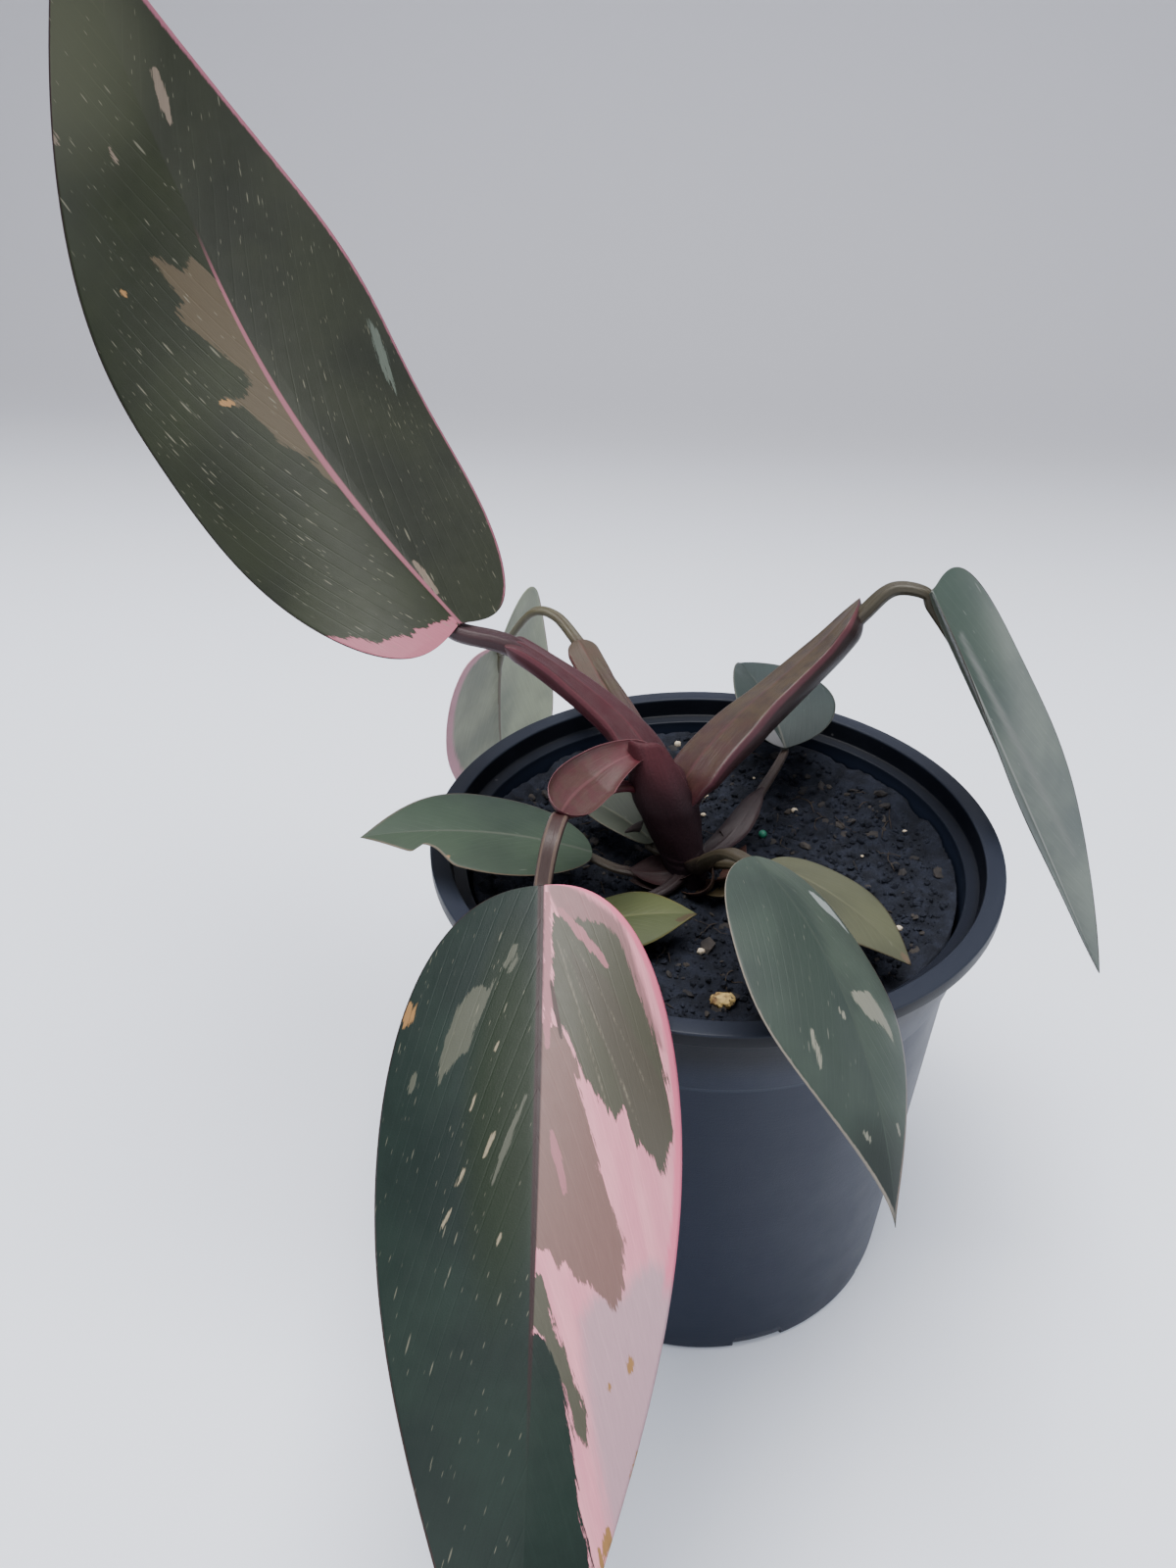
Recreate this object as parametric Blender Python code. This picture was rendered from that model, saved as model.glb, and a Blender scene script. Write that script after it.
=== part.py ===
"""Pink princess philodendron in a round nursery pot.

Units are metres, +Z is up and the origin is the centre of the pot's flat underside.
The plant is a short stem in a pot of soil.  Ten leaves spring from the stem, each a blade on its own stalk.
"""

import math

import bmesh
import bpy
import numpy as np
from mathutils import Matrix, Vector

MM = 0.001
GAP = 0.3 * MM

# Pot
POT_HEIGHT = 133 * MM
RIM_RADIUS = 70 * MM
RIM_INNER_RADIUS = 65.5 * MM
LIP_HEIGHT = 3.6 * MM
COLLAR_HEIGHT = 24 * MM
COLLAR_TOP_RADIUS = 66.2 * MM
COLLAR_BOTTOM_RADIUS = 62.6 * MM
BODY_TOP_RADIUS = 61.6 * MM
BASE_RADIUS = 56 * MM
WALL = 1.3 * MM
FLOOR = 1.6 * MM
LEDGE_DROP = 5 * MM
LEDGE_RADIUS = 61.4 * MM
DRAIN_SLOTS = 8
DRAIN_WIDTH = 14 * MM
DRAIN_HEIGHT = 3.4 * MM
DRAIN_DEPTH = 7 * MM
POT_SEGMENTS = 56

# Soil and stem
SOIL_LEVEL = 122.5 * MM
SOIL_TILT = 0.012
SOIL_LUMP = 0.7 * MM
SOIL_SEGMENTS = 40
SOIL_RINGS = [0.86, 0.7, 0.54, 0.38, 0.22, 0.1]
STEM_FOOT = Vector((-5, -6, 95)) * MM
STEM_GROUND = Vector((-5, -6, 121)) * MM
STEM_TOP = Vector((-15, -3, 154.5)) * MM
STEM_RADIUS = 5.4 * MM
STEM_SWELL = 8.2 * MM
STEM_SWELL_SHARE = 0.55
STEM_SIDES = 18
STEM_RINGS = 12

# Blades
BLADE_EDGE = 0.7 * MM
MIDRIB_WIDTH = 1.6 * MM
VEIN_BOW = 1.25
VEIN_SHARES = [0.36, 0.7, 1.0]
SPINE_STEPS = 60
WAVE_PHASE = {"left": 2.4, "right": 0.6}

# Stalks: the blade's underside rests just above the end of its stalk
STALK_SIDES = 12
STALK_STEPS = 4
STALK_END_BACK = 0.42 * MM
STALK_END_DROP = 0.1 * MM
CHANNEL_SPREAD = 0.5
CHANNEL_PRESS = 1.6

# Each leaf: where the blade meets its stalk, the heading there (degrees), and the blade's size.
# azimuth 0 is +X and 90 is +Y; droop and sweep are the turns from the base to the tip;
# roll lowers the right-hand side; fold lifts each half; curl turns each half's edge down.
LEAVES = {
    "upright": dict(
        base=(-62.5, 6.5, 183), azimuth=150, elevation=39, length=183, droop=-41, sweep=3, bend=1.5,
        roll=-4, twist=-33, left=36, right=31.5, fold_left=-3, fold_right=-2.5, curl_left=28, curl_right=0,
        lobe=0.05, widest=0.395, fullness=0.85, taper=1.17, rows=18, midrib=2.4,
        wave=1.6, waves=2.2, color="green"),
    "front": dict(
        base=(-35, -49.7, 151.7), azimuth=-82, elevation=-19, length=163.5, droop=21, sweep=-3, bend=1,
        roll=6, twist=-12, left=29, right=32.5, fold_left=-4, fold_right=-8, curl_left=29, curl_right=13,
        lobe=0.012, widest=0.31, fullness=0.86, taper=1.32, rows=18, midrib=2.2,
        wave=1.0, waves=1.7, color="pink"),
    "right_hanging": dict(
        base=(48.6, 34.2, 184.6), azimuth=-20, elevation=-58, length=119, droop=2, sweep=7, bend=1,
        roll=0.5, twist=14, left=22, right=22.5, fold_left=24, fold_right=24, curl_left=15, curl_right=3,
        lobe=0.05, widest=0.30, fullness=0.82, taper=0.96, rows=14, midrib=1.8,
        wave=0.6, waves=1.5, color="grey_green"),
    "front_right": dict(
        base=(8.7, -38.8, 155.4), azimuth=-54, elevation=-1, length=82, droop=65, sweep=-17, bend=1,
        roll=-15, twist=-5, left=17.8, right=19.5, fold_left=-7, fold_right=-0.5, curl_left=24, curl_right=15,
        lobe=-0.01, widest=0.395, fullness=0.89, taper=1.44, rows=14, midrib=1.6,
        wave=0.5, waves=1.5, color="grey_green"),
    "left_notched": dict(
        base=(-29, -11.2, 132.2), azimuth=191, elevation=23, length=57, droop=16, sweep=22, bend=1,
        roll=1, twist=-16, left=14.3, right=14.8, fold_left=6, fold_right=6, curl_left=15, curl_right=15,
        lobe=-0.01, widest=0.44, fullness=0.88, taper=1.07, rows=12, midrib=1.5,
        wave=0.3, waves=1.5, color="grey_green"),
    "back_left": dict(
        base=(-68.1, 76, 141), azimuth=118, elevation=-70, length=109, droop=30, sweep=-20, bend=1,
        roll=-24, twist=3, left=25, right=29, fold_left=-2, fold_right=25, curl_left=24, curl_right=16,
        lobe=0.15, widest=0.415, fullness=0.88, taper=1.25, rows=14, midrib=1.7,
        wave=0.6, waves=1.5, color="grey_green"),
    "small_yellow": dict(
        base=(-30.5, -33.9, 127.6), azimuth=9, elevation=19, length=29, droop=29, sweep=3, bend=1,
        roll=-3, twist=15, left=8.7, right=10, fold_left=2, fold_right=4, curl_left=15, curl_right=11,
        lobe=0.048, widest=0.42, fullness=0.85, taper=1.1, rows=10, midrib=1.2,
        wave=0.2, waves=1.2, color="olive"),
    "small_olive": dict(
        base=(12.8, -16.4, 136.9), azimuth=-38, elevation=14, length=42, droop=45, sweep=0, bend=1,
        roll=-7, twist=0, left=12.2, right=12.8, fold_left=-1, fold_right=2, curl_left=20, curl_right=12,
        lobe=0.05, widest=0.40, fullness=0.85, taper=1.0, rows=10, midrib=1.3,
        wave=0.2, waves=1.2, color="olive"),
    "small_back": dict(
        base=(17.2, 31, 139.3), azimuth=104, elevation=19, length=39, droop=22, sweep=12, bend=1,
        roll=3, twist=11, left=11.5, right=17, fold_left=23, fold_right=24, curl_left=9, curl_right=9,
        lobe=0.01, widest=0.36, fullness=0.86, taper=1.26, rows=10, midrib=1.3,
        wave=0.3, waves=1.2, color="grey_green"),
    "small_by_stem": dict(
        base=(-14.8, -1.6, 129.4), azimuth=142, elevation=17, length=30, droop=32, sweep=2, bend=1,
        roll=5, twist=-12, left=7.7, right=10.7, fold_left=17, fold_right=15, curl_left=5, curl_right=6,
        lobe=0.037, widest=0.41, fullness=0.85, taper=1.22, rows=10, midrib=1.2,
        wave=0.2, waves=1.2, color="grey_green"),
}

# Each stalk: points from the stem to the blade, with the full width there; depth is the thickness
# as a share of the width, channel the depth of the groove along its upper side, and seat how far the
# end rises into the fold of the blade above it.
STALKS = {
    "upright": dict(
        route=[(-12, -1, 141), (-17, 3, 150), (-25, 8, 156.5), (-38, 10.5, 164.5), (-51.5, 9, 174)],
        widths=[12, 12, 10.5, 9, 7, 4.6], depth=0.85, channel=0.3, color="maroon"),
    "front": dict(
        route=[(-12, -4, 147), (-20, -7.5, 153), (-28, -17, 156.5), (-32.5, -29, 158), (-34, -41, 157.5)],
        widths=[8, 11, 12, 6.5, 4, 3.8], depth=0.6, channel=0.45, color="maroon", cut_by=["upright"]),
    "right_hanging": dict(
        route=[(-8, -4, 132), (-4.5, 1.5, 145), (4.5, 12, 154), (15, 22, 161.5), (25, 30, 169.5),
               (33, 34, 178), (39.5, 35.8, 184)],
        widths=[11, 14, 13.5, 11.5, 9.6, 6.8, 4, 3.7], depth=0.85, channel=0.3, color="olive",
        seat=0.65, cut_by=["upright"]),
    "front_right": dict(
        route=[(-4, -6.5, 126.8), (-1, -17, 137), (3.5, -30, 149)],
        widths=[7, 5.5, 4, 3.2], depth=0.85, channel=0.25, color="olive"),
    "left_notched": dict(
        route=[(-6, -7, 127), (-14, -10.5, 127), (-22, -12, 128)],
        widths=[7, 6, 4, 2.8], depth=0.7, channel=0.3, color="brown"),
    "back_left": dict(
        route=[(-10, 0, 136), (-22, 28, 142.5), (-32, 48, 146.5), (-42, 63, 150), (-50, 70.5, 154.5),
               (-57.5, 72, 154)],
        widths=[9, 10.5, 10, 6, 3.4, 3.2, 3], depth=0.75, channel=0.3, color="olive",
        cut_by=["right_hanging", "upright"]),
    "small_yellow": dict(
        route=[(-6, -8, 125.5), (-12, -16.5, 125.3), (-22, -23.5, 125.2), (-31, -26, 125.4),
               (-37.5, -28.8, 125.7), (-38.2, -33, 126.1)],
        widths=[3.6, 3, 2.5, 2.3, 2.1, 2, 1.9], depth=0.85, channel=0.1, color="brown",
        cut_by=["left_notched"]),
    "small_olive": dict(
        route=[(-4, -5, 126), (3, -9.5, 130.5)],
        widths=[4.6, 3.6, 2.6], depth=0.8, channel=0.2, color="brown",
        cut_by=["front_right", "small_back"]),
    "small_back": dict(
        route=[(-3, -4, 126.5), (5, 4, 130.5), (10, 13, 134.5), (14, 22, 136.5)],
        widths=[6.6, 7.4, 5.8, 2.8, 2.2], depth=0.75, channel=0.3, color="brown",
        cut_by=["front_right"]),
    "small_by_stem": dict(
        route=[(-6, -5.5, 127)],
        widths=[4.4, 2.4], depth=0.8, channel=0.2, color="brown"),
}

COLORS = {
    "pot": ((0.020, 0.023, 0.030), 0.42),
    "soil": ((0.016, 0.014, 0.015), 0.95),
    "stem": ((0.095, 0.022, 0.030), 0.45),
    "green": ((0.040, 0.055, 0.028), 0.38),
    "pink": ((0.300, 0.170, 0.180), 0.38),
    "grey_green": ((0.085, 0.125, 0.095), 0.45),
    "olive": ((0.160, 0.175, 0.060), 0.50),
    "maroon": ((0.150, 0.030, 0.042), 0.40),
    "brown": ((0.090, 0.050, 0.042), 0.55),
}


def clear_scene():
    """Remove every object, so that the script starts from an empty scene."""
    for item in list(bpy.data.objects):
        bpy.data.objects.remove(item, do_unlink=True)


def material(name):
    """Return the Principled material of this name, made on first use."""
    found = bpy.data.materials.get(name)
    if found:
        return found
    color, roughness = COLORS[name]
    made = bpy.data.materials.new(name)
    made.use_nodes = True
    shader = made.node_tree.nodes["Principled BSDF"]
    shader.inputs["Base Color"].default_value = (*color, 1.0)
    shader.inputs["Roughness"].default_value = roughness
    shader.inputs["Metallic"].default_value = 0.0
    made.diffuse_color = (*color, 1.0)
    return made


def make_object(name, vertices, faces, color, parent=None):
    """Make a smooth-shaded mesh object from points in metres."""
    mesh = bpy.data.meshes.new(name)
    mesh.from_pydata([tuple(v) for v in vertices], [], faces)
    mesh.update()
    mesh.shade_smooth()
    mesh.set_sharp_from_angle(angle=math.radians(40))
    mesh.materials.append(material(color))
    made = bpy.data.objects.new(name, mesh)
    bpy.context.scene.collection.objects.link(made)
    made.parent = parent
    return made


def smooth_route(points, steps):
    """Read points from a smooth curve through the given ones, a number of steps for each stretch."""
    pts = [np.array(p, float) for p in points]
    pts = [2 * pts[0] - pts[1]] + pts + [2 * pts[-1] - pts[-2]]
    route = []
    for k in range(1, len(pts) - 2):
        p0, p1, p2, p3 = pts[k - 1:k + 3]
        for t in np.linspace(0, 1, steps, endpoint=False):
            route.append(0.5 * (2 * p1 + (p2 - p0) * t + (2 * p0 - 5 * p1 + 4 * p2 - p3) * t ** 2
                                + (3 * p1 - p0 - 3 * p2 + p3) * t ** 3))
    route.append(pts[-2])
    return np.array(route)


def lathe(profile, segments):
    """Turn a closed profile of (radius, height) about Z; points on the axis become single points."""
    vertices = []
    rings = []
    for radius, height in profile:
        if radius < 1e-6:
            rings.append([len(vertices)] * segments)
            vertices.append((0, 0, height))
            continue
        ring = []
        for k in range(segments):
            angle = 2 * math.pi * k / segments
            ring.append(len(vertices))
            vertices.append((radius * math.cos(angle), radius * math.sin(angle), height))
        rings.append(ring)
    faces = []
    for low, high in zip(rings, rings[1:]):
        for k in range(segments):
            n = (k + 1) % segments
            corners = [low[k], low[n], high[n], high[k]]
            face = [c for i, c in enumerate(corners) if c not in corners[:i]]
            if len(face) > 2:
                faces.append(face)
    return vertices, faces


def add_boolean(target, cutter):
    """Cut the target with a hidden cutter."""
    cutter.hide_render = True
    cutter.display_type = "WIRE"
    cut = target.modifiers.new("Cut " + cutter.name, "BOOLEAN")
    cut.operation = "DIFFERENCE"
    cut.object = cutter
    return cut


def blade_outline(leaf, share):
    """Edge of one half: share 0 at the stalk, 1 at the tip; gives x/length and y/half width."""
    if share <= 0.5:
        angle = share * math.pi
        return (leaf["widest"] * (1 - math.cos(angle)) - leaf["lobe"] * math.sin(2 * angle),
                math.sin(angle) ** leaf["fullness"])
    u = 2 * share - 1
    return (leaf["widest"] + (1 - leaf["widest"]) * u,
            max(math.cos(math.pi * u / 2), 0.0) ** leaf["taper"])


def blade_spine(leaf):
    """Points, headings and level side vectors along the midrib."""
    s = np.linspace(0, 1, SPINE_STEPS + 1)
    turn = s ** leaf["bend"]
    elevation = np.radians(leaf["elevation"] - leaf["droop"] * turn)
    azimuth = np.radians(leaf["azimuth"] + leaf["sweep"] * turn)
    heading = np.stack([np.cos(elevation) * np.cos(azimuth), np.cos(elevation) * np.sin(azimuth),
                        np.sin(elevation)], -1)
    side = np.stack([np.sin(azimuth), -np.cos(azimuth), np.zeros_like(azimuth)], -1)
    step = leaf["length"] * MM / SPINE_STEPS
    points = [np.array(leaf["base"]) * MM]
    for k in range(SPINE_STEPS):
        points.append(points[-1] + (heading[k] + heading[k + 1]) / 2 * step)
    return s, np.array(points), heading, side


def blade_frame(leaf, spine, x):
    """Point on the midrib at the distance x, with its heading, side and upper-face normal."""
    s, points, headings, sides = spine
    share = min(max(x / (leaf["length"] * MM), 0.0), 1.0)
    point, heading, side = (np.array([np.interp(share, s, a[:, i]) for i in range(3)])
                            for a in (points, headings, sides))
    heading /= np.linalg.norm(heading)
    point = point + min(x, 0.0) * heading
    normal = np.cross(side, heading)
    normal /= np.linalg.norm(normal)
    roll = math.radians(leaf["roll"] + leaf["twist"] * share)
    return (point, heading, side * math.cos(roll) - normal * math.sin(roll),
            normal * math.cos(roll) + side * math.sin(roll), share)


def blade_point(leaf, spine, x, y):
    """Place the flat blade's point (x along, y across, right-hand side positive) in space."""
    point, heading, side, normal, share = blade_frame(leaf, spine, x)
    hand = "right" if y > 0 else "left"
    half = leaf[hand] * MM
    fold = math.radians(leaf["fold_" + hand])
    curl = math.radians(leaf["curl_" + hand]) / half
    if abs(curl) < 1e-3:
        curl = 1e-3
    reach = abs(y)
    across = (math.sin(fold) - math.sin(fold - curl * reach)) / curl
    lift = (math.cos(fold - curl * reach) - math.cos(fold)) / curl
    phase = 2 * math.pi * leaf["waves"] * share + WAVE_PHASE[hand]
    lift += leaf["wave"] * MM * (reach / half) ** 2 * math.sin(phase)
    return point + side * across * math.copysign(1, y) + normal * lift, normal


def blade_rows(leaf):
    """Flat grid of the blade along its veins: for each row the midrib point and the two edge points."""
    rows = leaf["rows"]
    grid = []
    for k in range(1, rows):
        share = k / rows
        x, y = blade_outline(leaf, share)
        grid.append((share ** 2 * leaf["length"] * MM, x * leaf["length"] * MM, y))
    return grid


def build_blade(name, leaf, parent):
    """A closed, thin blade with a raised midrib beneath, meshed along its veins."""
    spine = blade_spine(leaf)
    columns = [-s for s in reversed(VEIN_SHARES)] + ["left rib", 0, "right rib"] + VEIN_SHARES
    upper = []
    lower = []
    length = leaf["length"] * MM

    def add(x, y, middle):
        position, normal = blade_point(leaf, spine, x, y)
        thickness = BLADE_EDGE
        if middle:
            along = min(max(x / length, 0.0), 1.0)
            thickness += (leaf["midrib"] * MM - BLADE_EDGE) * (1 - along) ** 0.8
        upper.append(position)
        lower.append(position - normal * thickness)
        return len(upper) - 1

    rows = [[add(0.0, 0.0, False)] * len(columns)]
    for x_mid, x_edge, y_edge in blade_rows(leaf):
        row = []
        for column in columns:
            if column == 0:
                row.append(add(x_mid, 0.0, True))
                continue
            if isinstance(column, str):
                hand = -1 if column == "left rib" else 1
                half = leaf["left" if hand < 0 else "right"] * MM
                part = min(MIDRIB_WIDTH / max(y_edge * half, 1e-6), 0.2)
            else:
                hand = -1 if column < 0 else 1
                half = leaf["left" if hand < 0 else "right"] * MM
                part = abs(column)
            x = x_mid + (x_edge - x_mid) * part ** VEIN_BOW
            row.append(add(x, hand * part * y_edge * half, False))
        rows.append(row)
    rows.append([add(length, 0.0, False)] * len(columns))

    count = len(upper)
    faces = []

    def face(corners):
        flat = [c for i, c in enumerate(corners) if c not in corners[:i]]
        for k in range(1, len(flat) - 1):
            faces.append((flat[0], flat[k], flat[k + 1]))
            faces.append((flat[0] + count, flat[k + 1] + count, flat[k] + count))

    for near, far in zip(rows, rows[1:]):
        for k in range(len(columns) - 1):
            face([near[k], near[k + 1], far[k + 1], far[k]])
    rim = [row[-1] for row in rows] + [row[0] for row in reversed(rows[1:-1])]
    for a, b in zip(rim, rim[1:] + rim[:1]):
        faces.append((a, a + count, b + count))
        faces.append((a, b + count, b))
    return make_object(name, upper + lower, faces, leaf["color"], parent)


def stalk_section(width, depth, channel):
    """Closed section of a stalk: an ellipse whose upper side is pressed in between two raised edges."""
    section = []
    for k in range(STALK_SIDES):
        angle = 2 * math.pi * k / STALK_SIDES
        press = CHANNEL_PRESS * channel * math.exp(-((angle - math.pi / 2) / CHANNEL_SPREAD) ** 2)
        section.append((width / 2 * math.cos(angle), width / 2 * depth * math.sin(angle) * (1 - press)))
    return section


def build_stalk(name, stalk, leaf, parent, grow=0.0):
    """A leaf stalk: a channelled, tapering loft from the stem to the underside of the blade's base."""
    spine = blade_spine(leaf)
    point, heading, _, normal, _ = blade_frame(leaf, spine, 0.0)
    tip_width = stalk["widths"][-1] * MM
    drop = tip_width * stalk["depth"] / 2 + BLADE_EDGE + STALK_END_DROP - stalk.get("seat", 0.0) * MM
    end = point - heading * STALK_END_BACK - normal * drop
    knots = [np.array(p) * MM for p in stalk["route"]] + [end]
    widths = [w * MM for w in stalk["widths"]]
    route = smooth_route(knots, STALK_STEPS)
    spread = np.interp(np.linspace(0, len(knots) - 1, len(route)), range(len(knots)), widths)
    vertices = []
    rings = []
    upright = np.array((0.0, 0.0, 1.0))
    for k, centre in enumerate(route):
        along = route[min(k + 1, len(route) - 1)] - route[max(k - 1, 0)]
        along /= np.linalg.norm(along)
        across = np.cross(along, upright)
        across /= np.linalg.norm(across)
        top = np.cross(across, along)
        share = k / (len(route) - 1)
        channel = stalk["channel"] * min(1.0, max(0.25, 1.5 - share))
        ring = []
        for a, b in stalk_section(spread[k] + 2 * grow, stalk["depth"], channel):
            ring.append(len(vertices))
            vertices.append(centre + across * a + top * b)
        rings.append(ring)
    faces = [tuple(rings[0])]
    for low, high in zip(rings, rings[1:]):
        for k in range(len(low)):
            n = (k + 1) % len(low)
            faces.append((low[k], high[k], high[n]))
            faces.append((low[k], high[n], low[n]))
    faces.append(tuple(reversed(rings[-1])))
    return make_object(name, vertices, faces, stalk["color"], parent)


def stem_radius(share):
    """Radius of the stem above ground: narrow at the soil, swollen where the stalks leave, domed on top."""
    rise = min(share / STEM_SWELL_SHARE, 1.0)
    swell = STEM_RADIUS + (STEM_SWELL - STEM_RADIUS) * math.sin(rise * math.pi / 2) ** 2
    fall = max(0.0, (share - STEM_SWELL_SHARE) / (1 - STEM_SWELL_SHARE))
    return swell * math.sqrt(max(0.0, 1 - fall ** 2.4))


def build_stem(name, grow, color, parent=None):
    """The stem from its foot in the soil to its domed top; grow fattens it all round."""
    levels = [(STEM_FOOT - Vector((0, 0, grow)), STEM_RADIUS + grow), (STEM_GROUND, STEM_RADIUS + grow)]
    for k in range(1, STEM_RINGS + 1):
        share = k / STEM_RINGS
        centre = STEM_GROUND.lerp(STEM_TOP, share)
        levels.append((centre, max(stem_radius(share), 0.5 * MM) + grow))
    vertices = []
    for centre, radius in levels:
        for k in range(STEM_SIDES):
            angle = 2 * math.pi * k / STEM_SIDES
            vertices.append(centre + Vector((radius * math.cos(angle), radius * math.sin(angle), 0)))
    faces = [tuple(reversed(range(STEM_SIDES)))]
    for level in range(len(levels) - 1):
        for k in range(STEM_SIDES):
            n = (k + 1) % STEM_SIDES
            a = level * STEM_SIDES
            b = a + STEM_SIDES
            faces.append((a + k, a + n, b + n, b + k))
    top = (len(levels) - 1) * STEM_SIDES
    faces.append(tuple(range(top, top + STEM_SIDES)))
    return make_object(name, vertices, faces, color, parent)


def build_pot():
    """The thin pot: rim with a lip, collar, tapered body and a floor with drain slots at its corner."""
    collar_z = POT_HEIGHT - COLLAR_HEIGHT
    lip_z = POT_HEIGHT - LIP_HEIGHT
    ledge_z = POT_HEIGHT - LEDGE_DROP
    profile = [
        (0, 0), (BASE_RADIUS - 1.2 * MM, 0), (BASE_RADIUS, 1.2 * MM),
        (BODY_TOP_RADIUS, collar_z - 0.4 * MM), (COLLAR_BOTTOM_RADIUS, collar_z),
        (COLLAR_TOP_RADIUS, lip_z), (RIM_RADIUS - 0.3 * MM, lip_z), (RIM_RADIUS, lip_z + 0.4 * MM),
        (RIM_RADIUS, POT_HEIGHT - 0.5 * MM), (RIM_RADIUS - 0.5 * MM, POT_HEIGHT),
        (RIM_INNER_RADIUS + 0.3 * MM, POT_HEIGHT), (RIM_INNER_RADIUS, POT_HEIGHT - 0.3 * MM),
        (RIM_INNER_RADIUS - 0.8 * MM, ledge_z), (LEDGE_RADIUS, ledge_z - 0.4 * MM),
        (COLLAR_BOTTOM_RADIUS - WALL - 0.6 * MM, collar_z),
        (BODY_TOP_RADIUS - WALL, collar_z - 1.5 * MM), (BASE_RADIUS - WALL, FLOOR), (0, FLOOR),
    ]
    vertices, faces = lathe(profile, POT_SEGMENTS)
    pot = make_object("pot", vertices, faces, "pot")
    for k in range(DRAIN_SLOTS):
        cutter = make_box("drain_cutter_%d" % k, (DRAIN_DEPTH, DRAIN_WIDTH, DRAIN_HEIGHT))
        angle = 2 * math.pi * (k + 0.5) / DRAIN_SLOTS
        cutter.rotation_euler = (0, 0, angle)
        reach = BASE_RADIUS + 1.5 * MM - DRAIN_DEPTH / 2
        cutter.location = (reach * math.cos(angle), reach * math.sin(angle), DRAIN_HEIGHT / 2 - 0.5 * MM)
        cutter.parent = pot
        add_boolean(pot, cutter)
    return pot


def make_box(name, size):
    """A plain box centred on its origin."""
    shape = bmesh.new()
    bmesh.ops.create_cube(shape, size=1.0, matrix=Matrix.Diagonal((*size, 1.0)))
    mesh = bpy.data.meshes.new(name)
    shape.to_mesh(mesh)
    shape.free()
    mesh.materials.append(material("pot"))
    made = bpy.data.objects.new(name, mesh)
    bpy.context.scene.collection.objects.link(made)
    return made


def soil_height(x, y):
    """Top of the soil: level, a little higher at the back right, with soft lumps."""
    lumps = math.sin(x * 160 + 0.7) * math.cos(y * 190 - 0.4) + 0.6 * math.sin(x * 330 - y * 270 + 1.1)
    return SOIL_LEVEL + (x * 0.5 + y) * SOIL_TILT + SOIL_LUMP * lumps


def build_soil():
    """The root ball: it fills the pot up to its surface, with a plain hole where the stem stands."""
    bottom_z = FLOOR + GAP
    collar_z = POT_HEIGHT - COLLAR_HEIGHT
    inner_base = BASE_RADIUS - WALL - GAP
    inner_top = BODY_TOP_RADIUS - WALL - GAP
    clear_base = BASE_RADIUS - DRAIN_DEPTH - GAP
    rings = [(clear_base, bottom_z), (clear_base, DRAIN_HEIGHT),
             (inner_base, DRAIN_HEIGHT + GAP), (inner_top, collar_z - 2 * MM), (inner_top, SOIL_LEVEL)]
    vertices = [(0, 0, bottom_z)]
    for radius, height in rings:
        for k in range(SOIL_SEGMENTS):
            angle = 2 * math.pi * k / SOIL_SEGMENTS
            x, y = radius * math.cos(angle), radius * math.sin(angle)
            vertices.append((x, y, soil_height(x, y) if height == SOIL_LEVEL else height))
    for share in SOIL_RINGS:
        for k in range(SOIL_SEGMENTS):
            angle = 2 * math.pi * k / SOIL_SEGMENTS
            x, y = inner_top * share * math.cos(angle), inner_top * share * math.sin(angle)
            vertices.append((x, y, soil_height(x, y)))
    vertices.append((0, 0, soil_height(0, 0)))
    faces = []
    levels = (len(vertices) - 2) // SOIL_SEGMENTS
    for k in range(SOIL_SEGMENTS):
        n = (k + 1) % SOIL_SEGMENTS
        faces.append((0, 1 + n, 1 + k))
        for level in range(levels - 1):
            a = 1 + level * SOIL_SEGMENTS
            b = a + SOIL_SEGMENTS
            faces.append((a + k, a + n, b + n, b + k))
        top = 1 + (levels - 1) * SOIL_SEGMENTS
        faces.append((top + k, top + n, len(vertices) - 1))
    soil = make_object("soil", vertices, faces, "soil")
    hole = build_stem("stem_hole_cutter", GAP, "soil")
    add_boolean(soil, hole)
    return soil


def build_plant():
    """The stem with its ten leaves."""
    plant = bpy.data.objects.new("plant", None)
    bpy.context.scene.collection.objects.link(plant)
    build_stem("stem", 0.0, "stem", plant)
    clearance = build_stem("stem_clearance_cutter", GAP, "stem")
    for name, leaf in LEAVES.items():
        build_blade("blade_" + name, leaf, plant)
        stalk = build_stalk("stalk_" + name, STALKS[name], leaf, plant)
        add_boolean(stalk, clearance)
        for other in STALKS[name].get("cut_by", []):
            cutter = build_stalk("%s_clears_%s" % (name, other), STALKS[other], LEAVES[other], plant, GAP)
            add_boolean(stalk, cutter)
    return plant


clear_scene()
build_pot()
build_soil()
build_plant()
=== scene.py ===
"""Looks of the pink princess philodendron in its nursery pot.

Metres, +Z up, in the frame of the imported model.  Leaves, stalks, stem, soil and pot are finer meshes that
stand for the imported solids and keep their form.  Every colour and marking is a procedural material.
"""

import math

import bmesh
import bpy
import numpy as np
from mathutils import Matrix, Vector, noise


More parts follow.
